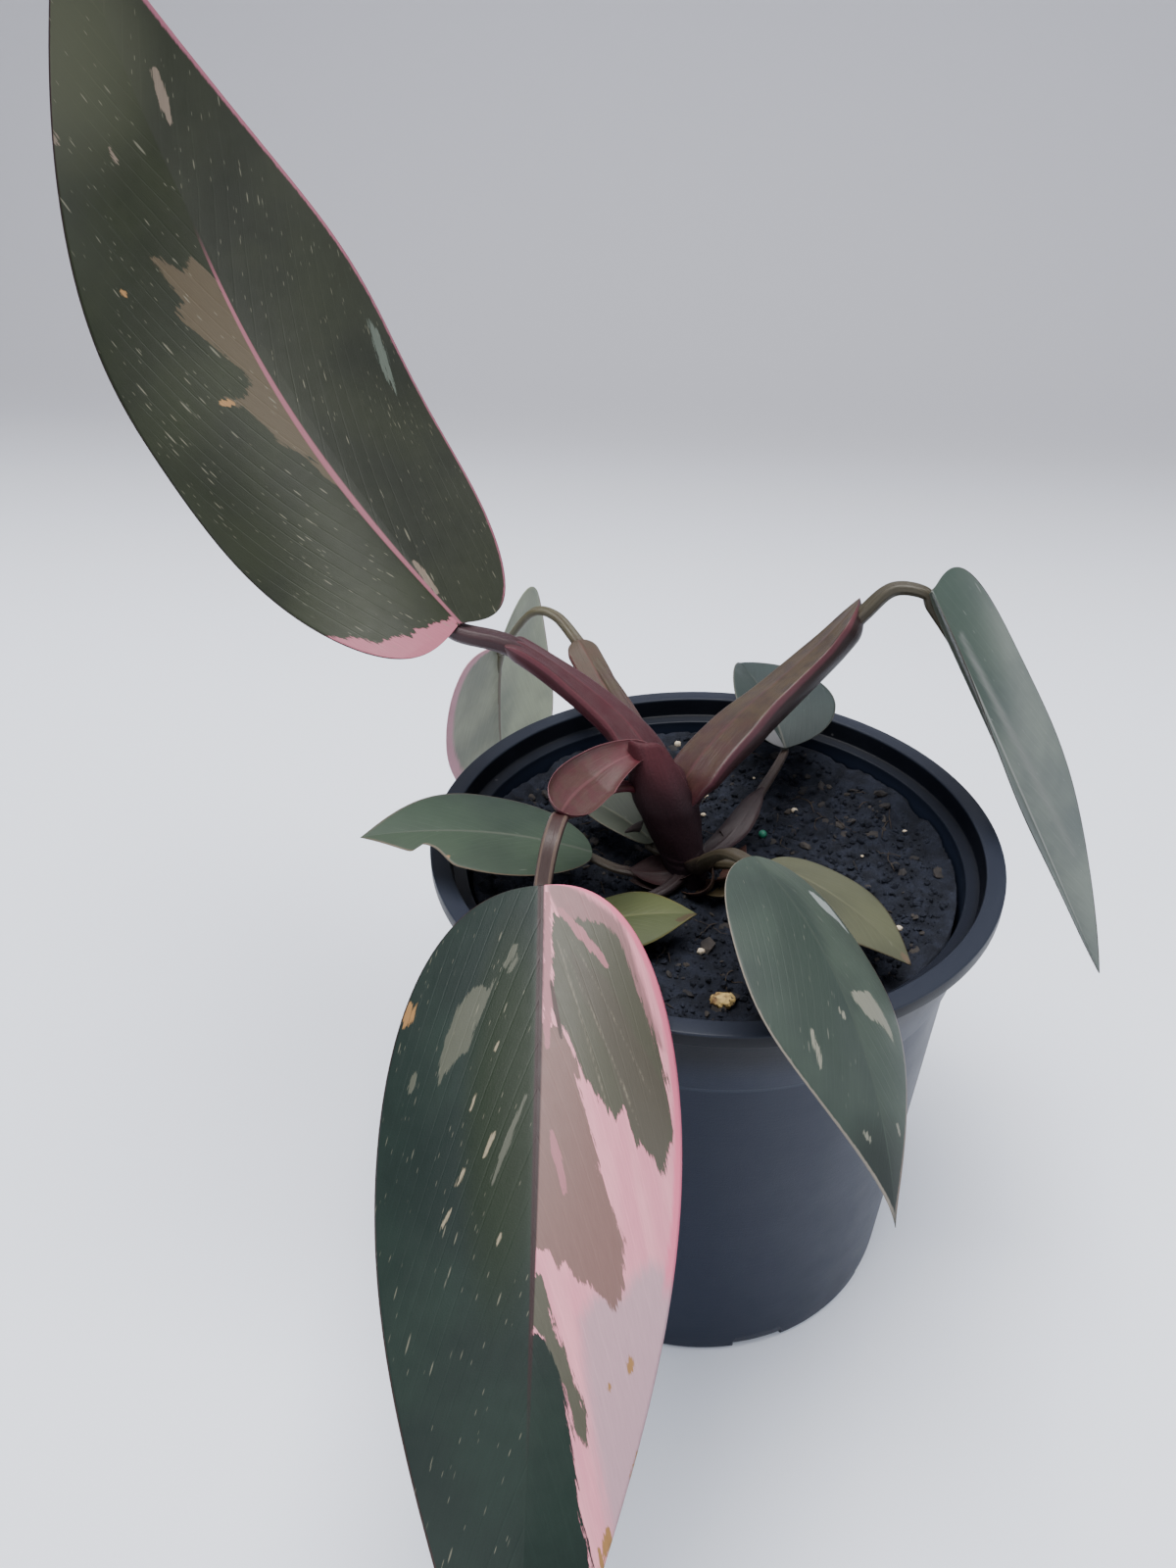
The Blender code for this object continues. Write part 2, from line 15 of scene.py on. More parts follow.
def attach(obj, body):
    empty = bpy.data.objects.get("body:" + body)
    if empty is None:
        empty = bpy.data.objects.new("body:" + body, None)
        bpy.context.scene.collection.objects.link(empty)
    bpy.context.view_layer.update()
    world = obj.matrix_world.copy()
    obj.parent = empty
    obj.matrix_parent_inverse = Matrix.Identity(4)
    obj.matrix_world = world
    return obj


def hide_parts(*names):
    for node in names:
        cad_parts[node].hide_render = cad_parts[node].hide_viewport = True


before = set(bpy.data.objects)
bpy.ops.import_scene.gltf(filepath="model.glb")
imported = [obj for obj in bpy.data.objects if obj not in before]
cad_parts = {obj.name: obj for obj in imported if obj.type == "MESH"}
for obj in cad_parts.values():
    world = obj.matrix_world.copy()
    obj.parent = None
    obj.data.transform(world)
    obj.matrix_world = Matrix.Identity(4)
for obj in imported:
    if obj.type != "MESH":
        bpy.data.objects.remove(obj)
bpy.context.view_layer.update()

MM = 0.001
GAP = 0.3 * MM

# Pot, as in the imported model
POT_HEIGHT = 133 * MM
RIM_RADIUS = 70 * MM
RIM_INNER_RADIUS = 65.5 * MM
LIP_HEIGHT = 3.6 * MM
COLLAR_HEIGHT = 24 * MM
COLLAR_TOP_RADIUS = 66.2 * MM
COLLAR_BOTTOM_RADIUS = 62.6 * MM
BODY_TOP_RADIUS = 61.6 * MM
BASE_RADIUS = 56 * MM
WALL = 1.3 * MM
FLOOR = 1.6 * MM
LEDGE_DROP = 5 * MM
LEDGE_RADIUS = 61.4 * MM
DRAIN_SLOTS = 8
DRAIN_SIZE = (7 * MM, 14 * MM, 3.4 * MM)
SOIL_LEVEL = 122.5 * MM
SOIL_RADIUS = BODY_TOP_RADIUS - WALL - GAP

# Stem
STEM_GROUND = Vector((-5, -6, 121)) * MM
STEM_TOP = Vector((-15, -3, 154.5)) * MM
STEM_RADIUS = 4.7 * MM
STEM_SWELL = 7.6 * MM

# Blades: thin at the edge, thicker at the midrib, which is a groove above and a rib below
BLADE_THICKNESS = 0.42 * MM
EDGE_THICKNESS = 0.2 * MM
CAD_THICKNESS = 0.7 * MM
GROOVE_WIDTH = 0.8 * MM
RIB_WIDTH = 1.1 * MM
ROW_BOW = 1.25
VEIN_LEAN = 2.3
VEIN_CURVE = 1.0
WAVE_PHASE = {"left": 2.4, "right": 0.6}

# Camera: the photograph's own place and angle
CAMERA_PLACE = (0.0, -0.2476, 0.3122)
CAMERA_TURN = (56.081, 0.0, 7.232)
CAMERA_LENS = 28.125


def tone(red, green, blue):
    """A colour given as 0 to 255 on a screen, as the linear values that shaders take."""
    values = []
    for level in (red, green, blue):
        share = level / 255
        values.append(share / 12.92 if share <= 0.04045 else ((share + 0.055) / 1.055) ** 2.4)
    return tuple(values)


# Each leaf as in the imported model: base (mm), heading (degrees), size (mm) and bends.
# rows and columns set the fineness of its mesh.
LEAVES = {
    "upright": dict(
        base=(-62.5, 6.5, 183), azimuth=150, elevation=39, length=183, droop=-41, sweep=3, bend=1.5,
        roll=-4, twist=-33, left=36, right=31.5, fold_left=-3, fold_right=-2.5, curl_left=28, curl_right=0,
        lobe=0.05, widest=0.395, fullness=0.85, taper=1.17, midrib=2.4, wave=1.6, waves=2.2,
        rows=300, columns=56),
    "front": dict(
        base=(-35, -49.7, 151.7), azimuth=-82, elevation=-19, length=163.5, droop=21, sweep=-3, bend=1,
        roll=6, twist=-12, left=29, right=32.5, fold_left=-4, fold_right=-8, curl_left=29, curl_right=13,
        lobe=0.012, widest=0.31, fullness=0.86, taper=1.32, midrib=2.2, wave=1.0, waves=1.7,
        rows=300, columns=58),
    "right_hanging": dict(
        base=(48.6, 34.2, 184.6), azimuth=-20, elevation=-58, length=119, droop=2, sweep=7, bend=1,
        roll=0.5, twist=14, left=22, right=22.5, fold_left=24, fold_right=24, curl_left=15, curl_right=3,
        lobe=0.05, widest=0.30, fullness=0.82, taper=0.96, midrib=1.8, wave=0.6, waves=1.5,
        rows=140, columns=30),
    "front_right": dict(
        base=(8.7, -38.8, 155.4), azimuth=-54, elevation=-1, length=82, droop=65, sweep=-17, bend=1,
        roll=-15, twist=-5, left=17.8, right=19.5, fold_left=-7, fold_right=-0.5, curl_left=24, curl_right=15,
        lobe=-0.01, widest=0.395, fullness=0.89, taper=1.44, midrib=1.6, wave=0.5, waves=1.5,
        rows=130, columns=32),
    "left_notched": dict(
        base=(-29, -11.2, 132.2), azimuth=191, elevation=23, length=57, droop=16, sweep=22, bend=1,
        roll=1, twist=-16, left=14.3, right=14.8, fold_left=6, fold_right=6, curl_left=15, curl_right=15,
        lobe=-0.01, widest=0.44, fullness=0.88, taper=1.07, midrib=1.5, wave=0.3, waves=1.5,
        rows=100, columns=26),
    "back_left": dict(
        base=(-68.1, 76, 141), azimuth=118, elevation=-70, length=109, droop=30, sweep=-20, bend=1,
        roll=-24, twist=3, left=25, right=29, fold_left=-2, fold_right=25, curl_left=24, curl_right=16,
        lobe=0.15, widest=0.415, fullness=0.88, taper=1.25, midrib=1.7, wave=0.6, waves=1.5, bent=7,
        left_form=dict(lobe=0.06, widest=0.17, taper=2.0), right_form=dict(widest=0.3, taper=1.6),
        rows=110, columns=26),
    "small_yellow": dict(
        base=(-30.5, -33.9, 127.6), azimuth=9, elevation=19, length=29, droop=29, sweep=3, bend=1,
        roll=-3, twist=15, left=8.7, right=10, fold_left=2, fold_right=4, curl_left=15, curl_right=11,
        lobe=0.048, widest=0.42, fullness=0.85, taper=1.1, midrib=1.2, wave=0.2, waves=1.2,
        rows=60, columns=16),
    "small_olive": dict(
        base=(12.8, -16.4, 136.9), azimuth=-38, elevation=14, length=42, droop=45, sweep=0, bend=1,
        roll=-7, twist=0, left=12.2, right=12.8, fold_left=-1, fold_right=2, curl_left=20, curl_right=12,
        lobe=0.05, widest=0.40, fullness=0.85, taper=1.0, midrib=1.3, wave=0.2, waves=1.2,
        rows=70, columns=18),
    "small_back": dict(
        base=(17.2, 31, 139.3), azimuth=104, elevation=19, length=39, droop=22, sweep=12, bend=1,
        roll=3, twist=11, left=11.5, right=17, fold_left=23, fold_right=24, curl_left=9, curl_right=9,
        lobe=0.01, widest=0.36, fullness=0.86, taper=0.8, midrib=1.3, wave=0.3, waves=1.2,
        rows=70, columns=18),
    "small_by_stem": dict(
        base=(-14.8, -1.6, 129.4), azimuth=142, elevation=17, length=30, droop=32, sweep=2, bend=1,
        roll=5, twist=-12, left=7.7, right=10.7, fold_left=17, fold_right=15, curl_left=5, curl_right=6,
        lobe=0.037, widest=0.41, fullness=0.85, taper=1.22, midrib=1.2, wave=0.2, waves=1.2,
        rows=60, columns=16),
}

# Markings: outlines and streaks on the flat blade, in mm from its base along the midrib (x) and to its
# right (y, negative to its left).  A streak is two ends and half its width.
GREEN = tone(27, 32, 17)
GREY_GREEN = tone(33, 36, 27)
FOREST = tone(24, 36, 32)
TAN = tone(69, 60, 45)
PALE_PINK = tone(163, 131, 140)
TAUPE = tone(110, 84, 80)
SAGE = tone(71, 70, 60)
CREAM = tone(116, 113, 98)
SCORCH = tone(134, 100, 62)
SLIT = tone(60, 44, 42)

# The soft round spot on a blade (colour, centre along, offset across, reach along, reach across, in mm) is a painted
# sheen near the tip of the upright leaf and a darker patch on the others.
LOOKS = {
    "upright": dict(
        colors=(GREEN, GREY_GREEN), flecks=0.34, fleck_color=CREAM, gloss=0.40,
        # Painted sheen: a lighter spot on the left of the blade near its tip.
        spot_and_sheen=(tone(66, 68, 54), 168, -14, 44, 26),
        rib=(tone(128, 76, 88), 1.05, 90, 110), under=tone(82, 74, 65),
        margins={"right": (tone(132, 79, 93), 0.7, 0, 183), "left": (tone(39, 26, 26), 0.3, 0, 183)},
        midrib_shift=(-3.3, 115), rib_start=0.55, layers=[
            dict(color=TAN, jag=1.6, side="left", outlines=[[
                (106, -12), (106, -10), (102, -7.5), (101, -5.3), (103, -5), (103.5, -3), (100, -1.6),
                (93, 0.3), (90, 6), (36, 6), (37, 0.3), (44, -1.4), (52, -2.8), (58, -6.2), (62, -6.7),
                (69, -8.8), (71, -11.7), (72.5, -11.8), (70.5, -8.8), (70.5, -6.9), (72.5, -5.9), (72, -4.4),
                (76, -4.6), (83.5, -7.5), (91.5, -11.2), (94.5, -11.2), (95, -9.2), (101.5, -10.7)]]),
            dict(color=tone(152, 88, 102), jag=1.2, outlines=[[
                (2, 0), (3, -6), (4, -10), (3, -12), (5, -14), (6, -19), (9, -21), (14, -26), (16, -28),
                (10, -40), (-12, -40), (-20, -8)]]),
            dict(color=tone(76, 83, 75), jag=1.4, outlines=[[
                (76, 30.4), (72, 32), (66, 30.6), (60, 28.6), (57, 28), (62, 27.6), (70, 29)]]),
            dict(color=tone(104, 92, 81), jag=0.8, streaks=[
                ((142, 6), (131, 5), 1.1), ((138, -21), (134, -20), 0.6),
                ((130, -10), (126, -10), 0.5), ((18, 2), (9, 1), 0.9)]),
            dict(color=SCORCH, jag=0.6, streaks=[
                ((72, -13), (70.5, -10.6), 0.8), ((103, -21), (101.6, -20.4), 0.6)]),
        ]),
    "front": dict(
        colors=(FOREST, FOREST), flecks=0.30, fleck_color=CREAM, gloss=0.40,
        rib=(tone(40, 24, 26), 1.0, 80, 110), under=tone(92, 74, 69), fleck_side=1,
        spot_and_sheen=(tone(17, 30, 8), 46, 6, 40, 9),
        margins={"left": (tone(199, 102, 127), 2.1, -5, 80), "right": (tone(50, 34, 32), 0.3, 0, 170)},
        layers=[
            dict(color=tone(196, 124, 140), blend=tone(206, 138, 150), jag=1.0, side="left", outlines=[[
                (-10, 8), (84, 8), (87, -2.5), (90, -4.2), (94, -5.5), (97, -6.3), (104, -7.6), (113, -9),
                (119, -10.7), (132, -14), (150, -22), (150, -45), (-10, -45)]]),
            dict(color=PALE_PINK, jag=0.8, soft=1.8, outlines=[[
                (80, -11), (80, -16), (77, -18), (74, -22), (78, -30), (120, -30), (120, -15), (114, -13.8),
                (103, -11.3), (95, -10), (84, -8.4)]]),
            dict(color=tone(126, 92, 94), jag=0.8, soft=0.9, side="left", outlines=[[
                (-6, -1.5), (0, -6), (4, -12), (8, -17), (22, -21.6), (34, -25.2), (30, -20), (20, -10),
                (8, -4), (2, -1.5)]]),
            dict(color=TAUPE, jag=1.3, side="left", outlines=[[
                (30, 6), (32, -4.2), (39, -7.8), (43, -7.8), (54, -11), (61, -12.6), (71, -16.4), (79, -16.8),
                (83, -14.5), (81, -13.4), (78, -9.6), (78, -8.2), (74.5, -5.7), (76, -4.8), (73, -2.3),
                (72, 6)]]),
            dict(color=SAGE, jag=1.3, side="left", outlines=[
                [(7, -2.5), (8, -8.4), (9, -13.8), (12, -16.4), (21, -19.7), (30, -22.7), (40, -25.8),
                 (50, -27), (54, -25.8), (59, -25), (55.6, -22.9), (53.5, -19.3), (46.6, -16.6), (49.6, -14.9),
                 (42, -9.2), (34, -5.5), (27, -2.5), (13, -2.1)],
                [(76, 6), (77, -1.7), (87, -4.8), (92.6, -7.6), (98.6, -9.9), (104, -9.9), (100.7, -7.6),
                 (94, -5.5), (86.6, -2.5), (84, 6)]]),
            dict(color=tone(72, 68, 60), jag=1.0, soft=0.6, outlines=[[
                (15, -5.7), (21, -13.6), (31, -18.5), (41, -25), (46.6, -26.4), (54, -25.5), (58, -24.6),
                (52.6, -19.8), (47, -17.2), (42, -15.7), (30, -11), (24, -8)]]),
            dict(color=tone(146, 96, 103), jag=0.6, streaks=[
                ((6, -4), (18, -13.6), 1.0), ((52, -2.9), (63, -5.5), 0.7), ((2, -1.3), (36, -1.7), 0.9)]),
            dict(color=tone(104, 98, 86), jag=0.3, soft=0.25, streaks=[
                ((13, -3.4), (47, -13.4), 0.1), ((15, -4.8), (50, -19.7), 0.1), ((12, -6), (44, -22.5), 0.05)]),
            dict(color=tone(72, 74, 64), jag=0.9, outlines=[[
                (20.4, 9.2), (26.4, 11.3), (31, 13.2), (35.4, 14.5), (36.7, 17), (42, 20.4), (37, 20.4),
                (32.4, 19.3), (26, 16.8), (23, 15.3), (21.2, 12), (23, 10.7)]],
                streaks=[((45, 2.3), (61, 8.2), 0.55), ((42, 26), (39, 25.5), 0.9), ((13.5, 5.2), (17.8, 7.4), 0.5),
                         ((16.3, 4.6), (19.6, 6.4), 0.4)]),
            dict(color=tone(128, 118, 98), jag=0.4, streaks=[
                ((44, 12.2), (47.4, 13.2), 0.3), ((51.6, 8.2), (56.4, 10.1), 0.34), ((58, 13.6), (61.8, 15.2), 0.28),
                ((65.4, 15.8), (68.6, 17.4), 0.28), ((70, 6), (72, 6.8), 0.25), ((34, 8), (36, 8.8), 0.25)]),
            dict(color=SLIT, jag=0.1, streaks=[((22, -2.2), (34, -4.4), 0.42)]),
            dict(color=SCORCH, jag=1.2, streaks=[
                ((24, 27.6), (28, 28.6), 1.3), ((90, -18), (92, -17.6), 0.5), ((94, -14), (95, -14), 0.5),
                ((104, -20), (108, -18.5), 0.9), ((116, -14), (121, -13), 0.8)]),
        ]),
    "right_hanging": dict(
        colors=(tone(94, 101, 97), tone(66, 74, 69)), flecks=0.12, fleck_color=tone(137, 140, 135),
        gloss=0.48, rib=(tone(120, 123, 119), 0.8, 90, 119), under=tone(102, 102, 94),
        margins={"left": (tone(47, 39, 35), 0.3, 0, 119), "right": (tone(47, 39, 35), 0.3, 0, 119)},
        spot_and_sheen=(tone(40, 58, 48), -4, 2, 52, 22), layers=[
            # Painted sheen: a lighter streak down the length of the blade.
            dict(color=tone(102, 106, 102), jag=0.5, soft=1.2, streaks=[((14, -3), (84, -8), 1.0)])]),
    "front_right": dict(
        colors=(tone(54, 64, 57), tone(47, 57, 52)), flecks=0.22, fleck_color=tone(106, 107, 97),
        gloss=0.44, rib=(tone(52, 61, 54), 0.4, 60, 82), under=tone(84, 87, 75),
        margins={"left": (tone(106, 94, 85), 0.35, 0, 82), "right": (tone(120, 113, 103), 0.35, 0, 82)},
        spot_and_sheen=(tone(27, 31, 29), 82, 3, 24, 14), layers=[
            dict(color=tone(44, 54, 48), jag=1.6, soft=2.2, outlines=[[
                (4, 2), (16, 6), (30, 12), (44, 12), (52, 6), (40, 4), (24, -2), (10, -4)]]),
            dict(color=tone(112, 112, 100), jag=0.9, outlines=[[
                (36, -1.9), (36.7, -9), (41, -10.4), (44.6, -11.3), (49, -10.6), (44, -8.4), (42, -4.9), (38.5, -2)]],
                streaks=[((42, 10.2), (49, 10.9), 0.6), ((39, 2.6), (41, 2.1), 0.4), ((63, -4.3), (65.3, -4.2), 0.4),
                         ((62, 4.9), (64, 3.9), 0.4)]),
            dict(color=tone(128, 134, 132), jag=0.8, outlines=[[
                (10.5, -8.4), (11, -10), (14, -13.6), (19.5, -14.6), (22, -14.2), (18.8, -12), (15, -9)]]),
            dict(color=tone(170, 140, 104), jag=0.5, streaks=[((4.6, -12.2), (6.8, -11.6), 0.8)])]),
    "left_notched": dict(
        colors=(tone(48, 61, 49), tone(46, 59, 49)), flecks=0.08, fleck_color=tone(91, 96, 86),
        gloss=0.46, rib=(tone(67, 74, 64), 0.5, 40, 57), under=tone(76, 81, 70),
        notches=[("left", 42.0, 3.4, 4.4)],
        margins={"left": (tone(91, 81, 68), 0.3, 0, 57), "right": (tone(77, 73, 63), 0.3, 0, 57)},
        layers=[dict(color=tone(129, 99, 72), jag=0.8, streaks=[((38, -9.5), (45, -8), 1.2)])]),
    "back_left": dict(
        pale=0.0, colors=(tone(138, 142, 126), tone(132, 138, 120)), flecks=0.12, fleck_color=tone(160, 160, 148),
        gloss=0.5, rib=(tone(104, 98, 86), 0.8, 80, 109), under=tone(138, 140, 128),
        margins={"left": (tone(200, 150, 158), 4.6, -14, 50), "right": (tone(120, 100, 92), 0.4, 0, 109)},
        layers=[]),
    "small_yellow": dict(
        colors=(tone(65, 71, 41), tone(60, 67, 41)), flecks=0.05, fleck_color=tone(100, 105, 71),
        gloss=0.5, rib=(tone(79, 83, 53), 0.5, 20, 29), under=tone(77, 82, 57),
        margins={"left": (tone(85, 83, 50), 0.3, 0, 29), "right": (tone(85, 83, 50), 0.3, 0, 29)},
        layers=[dict(color=tone(63, 53, 35), jag=0.8, streaks=[((24, 2.4), (29, 0), 0.9)])]),
    "small_olive": dict(
        colors=(tone(72, 74, 58), tone(69, 71, 56)), flecks=0.05, fleck_color=tone(101, 101, 84),
        gloss=0.5, rib=(tone(81, 82, 64), 0.5, 30, 42), under=tone(77, 78, 64),
        margins={"left": (tone(68, 63, 47), 0.3, 0, 42), "right": (tone(68, 63, 47), 0.3, 0, 42)},
        layers=[dict(color=tone(88, 75, 60), jag=0.6, streaks=[((39, 0), (42, 0), 1.0)])]),
    "small_back": dict(
        colors=(tone(44, 53, 51), tone(43, 52, 52)), flecks=0.12, fleck_color=tone(92, 96, 93),
        gloss=0.5, rib=(tone(66, 68, 64), 0.5, 20, 39), under=tone(74, 77, 69),
        margins={"left": (tone(79, 79, 73), 0.3, 0, 39), "right": (tone(79, 79, 73), 0.3, 0, 39)},
        layers=[dict(color=tone(104, 104, 106), jag=0.8, outlines=[[
            (-1, 0.5), (-2, -6), (3, -11), (9, -8), (10, -4), (4, -1)]])]),
    "small_by_stem": dict(
        colors=(tone(69, 74, 64), tone(65, 70, 62)), flecks=0.05, fleck_color=tone(101, 103, 91),
        gloss=0.5, rib=(tone(81, 84, 72), 0.5, 20, 30), under=tone(88, 91, 76),
        margins={"left": (tone(76, 70, 60), 0.3, 0, 30), "right": (tone(76, 70, 60), 0.3, 0, 30)},
        layers=[]),
}

# Stalks as in the imported model.  The route and the core's widths run from the stem to the blade, and the
# sheath's widths start at the same first point.  The sheath ends part of the way along, at a point counted
# in route points, in a round or pointed lip that stands a little free of the core.
# UMBER darkens the feet of the small stalks under the scales: partly their own colour, partly painted shade.
UMBER = tone(38, 28, 29)
OLIVE = tone(56, 50, 37)
STALKS = {
    "upright": dict(
        route=[(-12, -1, 141), (-17, 3, 150), (-25, 8, 157.5), (-38, 10.5, 167), (-51.5, 9, 176.5)],
        core=[4.6, 4.6, 4.6, 5.2, 5.8, 5.4], sheath=[12.5, 12, 10.6, 9.2, 7.6, 7.2], end=4.1, closing=0.3,
        point=0.8, lean=-0.9, lift=0.5, hollow=-0.42, rim=0.9, depth=0.85,
        root=tone(42, 15, 21), face=tone(64, 33, 37), flank=tone(60, 15, 25), edge=tone(108, 54, 62),
        tip=tone(49, 27, 31)),
    "front": dict(
        route=[(-12, -4, 147), (-20, -7.5, 153), (-28, -17, 156.5), (-32.5, -29, 158), (-34, -41, 157.5)],
        core=[4.2, 4.2, 4.2, 4.2, 4.1, 3.8], sheath=[6, 7.5, 12.4, 13.2, 11], end=3.42, closing=1.0,
        moved=[(-2, 1, 9), (0, 0.5, 6), (0.5, 0, 2), (0, 0, 0.5), (0, 0, 0)],
        point=0.5, lift=0.8, hollow=0.22, rim=0.7, depth=0.5, sink=3.2, roll=-26,
        root=tone(74, 20, 32), face=tone(66, 42, 38), flank=tone(68, 26, 34), edge=tone(118, 74, 78),
        tip=tone(50, 34, 31), ridge=tone(92, 76, 66)),
    "right_hanging": dict(
        route=[(-8, -4, 132), (-4.5, 1.5, 145), (4.5, 12, 154), (15, 22, 161.5), (25, 30, 169.5),
               (33, 34, 178), (39.5, 35.8, 184)],
        core=[4.4, 4.4, 4.4, 4.4, 4.4, 4.4, 4.2, 3.7], sheath=[7, 14, 15.5, 13.4, 12, 10.8, 9.8],
        moved=[(-3, -1, 8), (-1, -3, 5), (0, -0.5, 3), (0, 0, 1.6), (0, 0, 0.5), (0, 0, 0)],
        end=5.2, closing=0.75, point=0.95, lean=-0.95, lift=1.2, hollow=-0.30, rim=1.1, depth=0.85,
        seat=0.65, roll=-22,
        root=tone(54, 24, 28), face=tone(62, 50, 32), flank=tone(40, 27, 26), edge=tone(92, 50, 58),
        tip=tone(58, 53, 40)),
    "front_right": dict(
        route=[(-4, -6.5, 126.8), (-1, -17, 137), (3.5, -30, 149)],
        core=[4.6, 4.2, 3.7, 3.2], sheath=[7, 7, 6], end=1.1, closing=0.6, point=0.8, lift=0.6,
        hollow=0.1, rim=0.5, depth=0.7, sink=1.2, root=UMBER, face=tone(59, 52, 38), flank=OLIVE,
        edge=tone(80, 65, 52), tip=OLIVE),
    "left_notched": dict(
        route=[(-6, -7, 127), (-14, -10.5, 127), (-22, -12, 128)],
        core=[3.4, 3.2, 3, 2.8], sheath=[8, 9.5, 8], end=1.75, closing=1.2, point=0.9, lift=0.5,
        hollow=0.15, rim=0.6, depth=0.6, sink=2.0, roll=-20, root=tone(32, 22, 23), face=tone(49, 31, 32),
        flank=tone(40, 26, 28), edge=tone(70, 47, 46), tip=tone(59, 52, 43)),
    "back_left": dict(
        route=[(-10, 0, 136), (-22, 28, 142.5), (-32, 48, 146.5), (-42, 63, 150), (-50, 70.5, 154.5),
               (-57.5, 72, 154)],
        core=[4, 4, 4, 3.8, 3.5, 3.3, 3], sheath=[8, 9, 9, 9.4, 9], end=2.95, closing=0.3, point=0.5,
        moved=[(0, 0, 0), (-1, 0, -1), (-2.5, 0, -1), (-1, 0, -0.5), (0, 0, 0)],
        lift=1.2, hollow=-0.35, rim=0.7, depth=0.75, root=tone(59, 31, 34), face=tone(66, 50, 38),
        flank=tone(62, 52, 38), edge=tone(104, 48, 50), tip=tone(74, 70, 49)),
    "small_yellow": dict(
        route=[(-6, -8, 125.5), (-12, -16.5, 125.3), (-22, -23.5, 125.2), (-31, -26, 125.4),
               (-37.5, -28.8, 125.7), (-38.2, -33, 126.1)],
        core=[3.6, 3, 2.5, 2.3, 2.1, 2, 1.9], depth=0.85, root=UMBER, flank=UMBER, tip=OLIVE),
    "small_olive": dict(
        route=[(-4, -5, 126), (3, -9.5, 130.5)],
        core=[4.6, 3.6, 2.6], depth=0.8, root=UMBER, flank=OLIVE, tip=OLIVE),
    "small_back": dict(
        route=[(-3, -4, 126.5), (5, 4, 130.5), (10, 13, 134.5), (14, 22, 136.5)],
        core=[3.2, 3, 2.8, 2.5, 2.2], sheath=[4.6, 6.4, 6.4, 4.4], end=2.4, closing=1.3, point=0.8, lift=0.5,
        hollow=0.02, rim=0.6, depth=0.65, sink=1.2, roll=24, root=tone(38, 22, 26), face=tone(48, 28, 32),
        flank=tone(36, 22, 26), edge=tone(58, 38, 40), tip=tone(59, 47, 41)),
    "small_by_stem": dict(
        route=[(-6, -5.5, 127)],
        core=[4.4, 2.4], depth=0.8, root=UMBER, flank=UMBER, tip=OLIVE),
}

# Small dry scales round the foot of the stem: route (mm), greatest width (mm) and colour
SCALES = [
    ([(-5, -9, 122), (-1, -12.5, 125.5), (1.5, -12.5, 132)], 9.0, tone(65, 46, 38)),
    ([(-1, -8, 122), (4.5, -11.5, 125), (12.5, -11, 129.5)], 9.5, tone(74, 65, 46)),
    ([(0, -5, 122), (5.5, -6.5, 127), (9, -4.5, 133)], 7.0, tone(77, 53, 47)),
    ([(-9, -9, 122), (-13.5, -13, 125), (-20, -15.5, 126.5)], 7.5, tone(38, 27, 26)),
    ([(-8, -1, 122), (-12, 2, 126), (-14, 3.5, 131)], 6.0, tone(53, 38, 37)),
    ([(-2, 0, 122), (1.5, 3, 126), (2.5, 4, 131)], 6.0, tone(59, 46, 40)),
]
SLOTS = {
    "upright": ("leaf_green", "stalk_maroon"),
    "front": ("leaf_pink", "stalk_maroon"),
    "right_hanging": ("leaf_grey_green", "stalk_olive"),
    "front_right": ("leaf_grey_green", "stalk_olive"),
    "left_notched": ("leaf_grey_green", "stalk_brown"),
    "back_left": ("leaf_grey_green", "stalk_olive"),
    "small_yellow": ("leaf_olive", "stalk_brown"),
    "small_olive": ("leaf_olive", "stalk_brown"),
    "small_back": ("leaf_grey_green", "stalk_brown"),
    "small_by_stem": ("leaf_grey_green", "stalk_brown"),
}


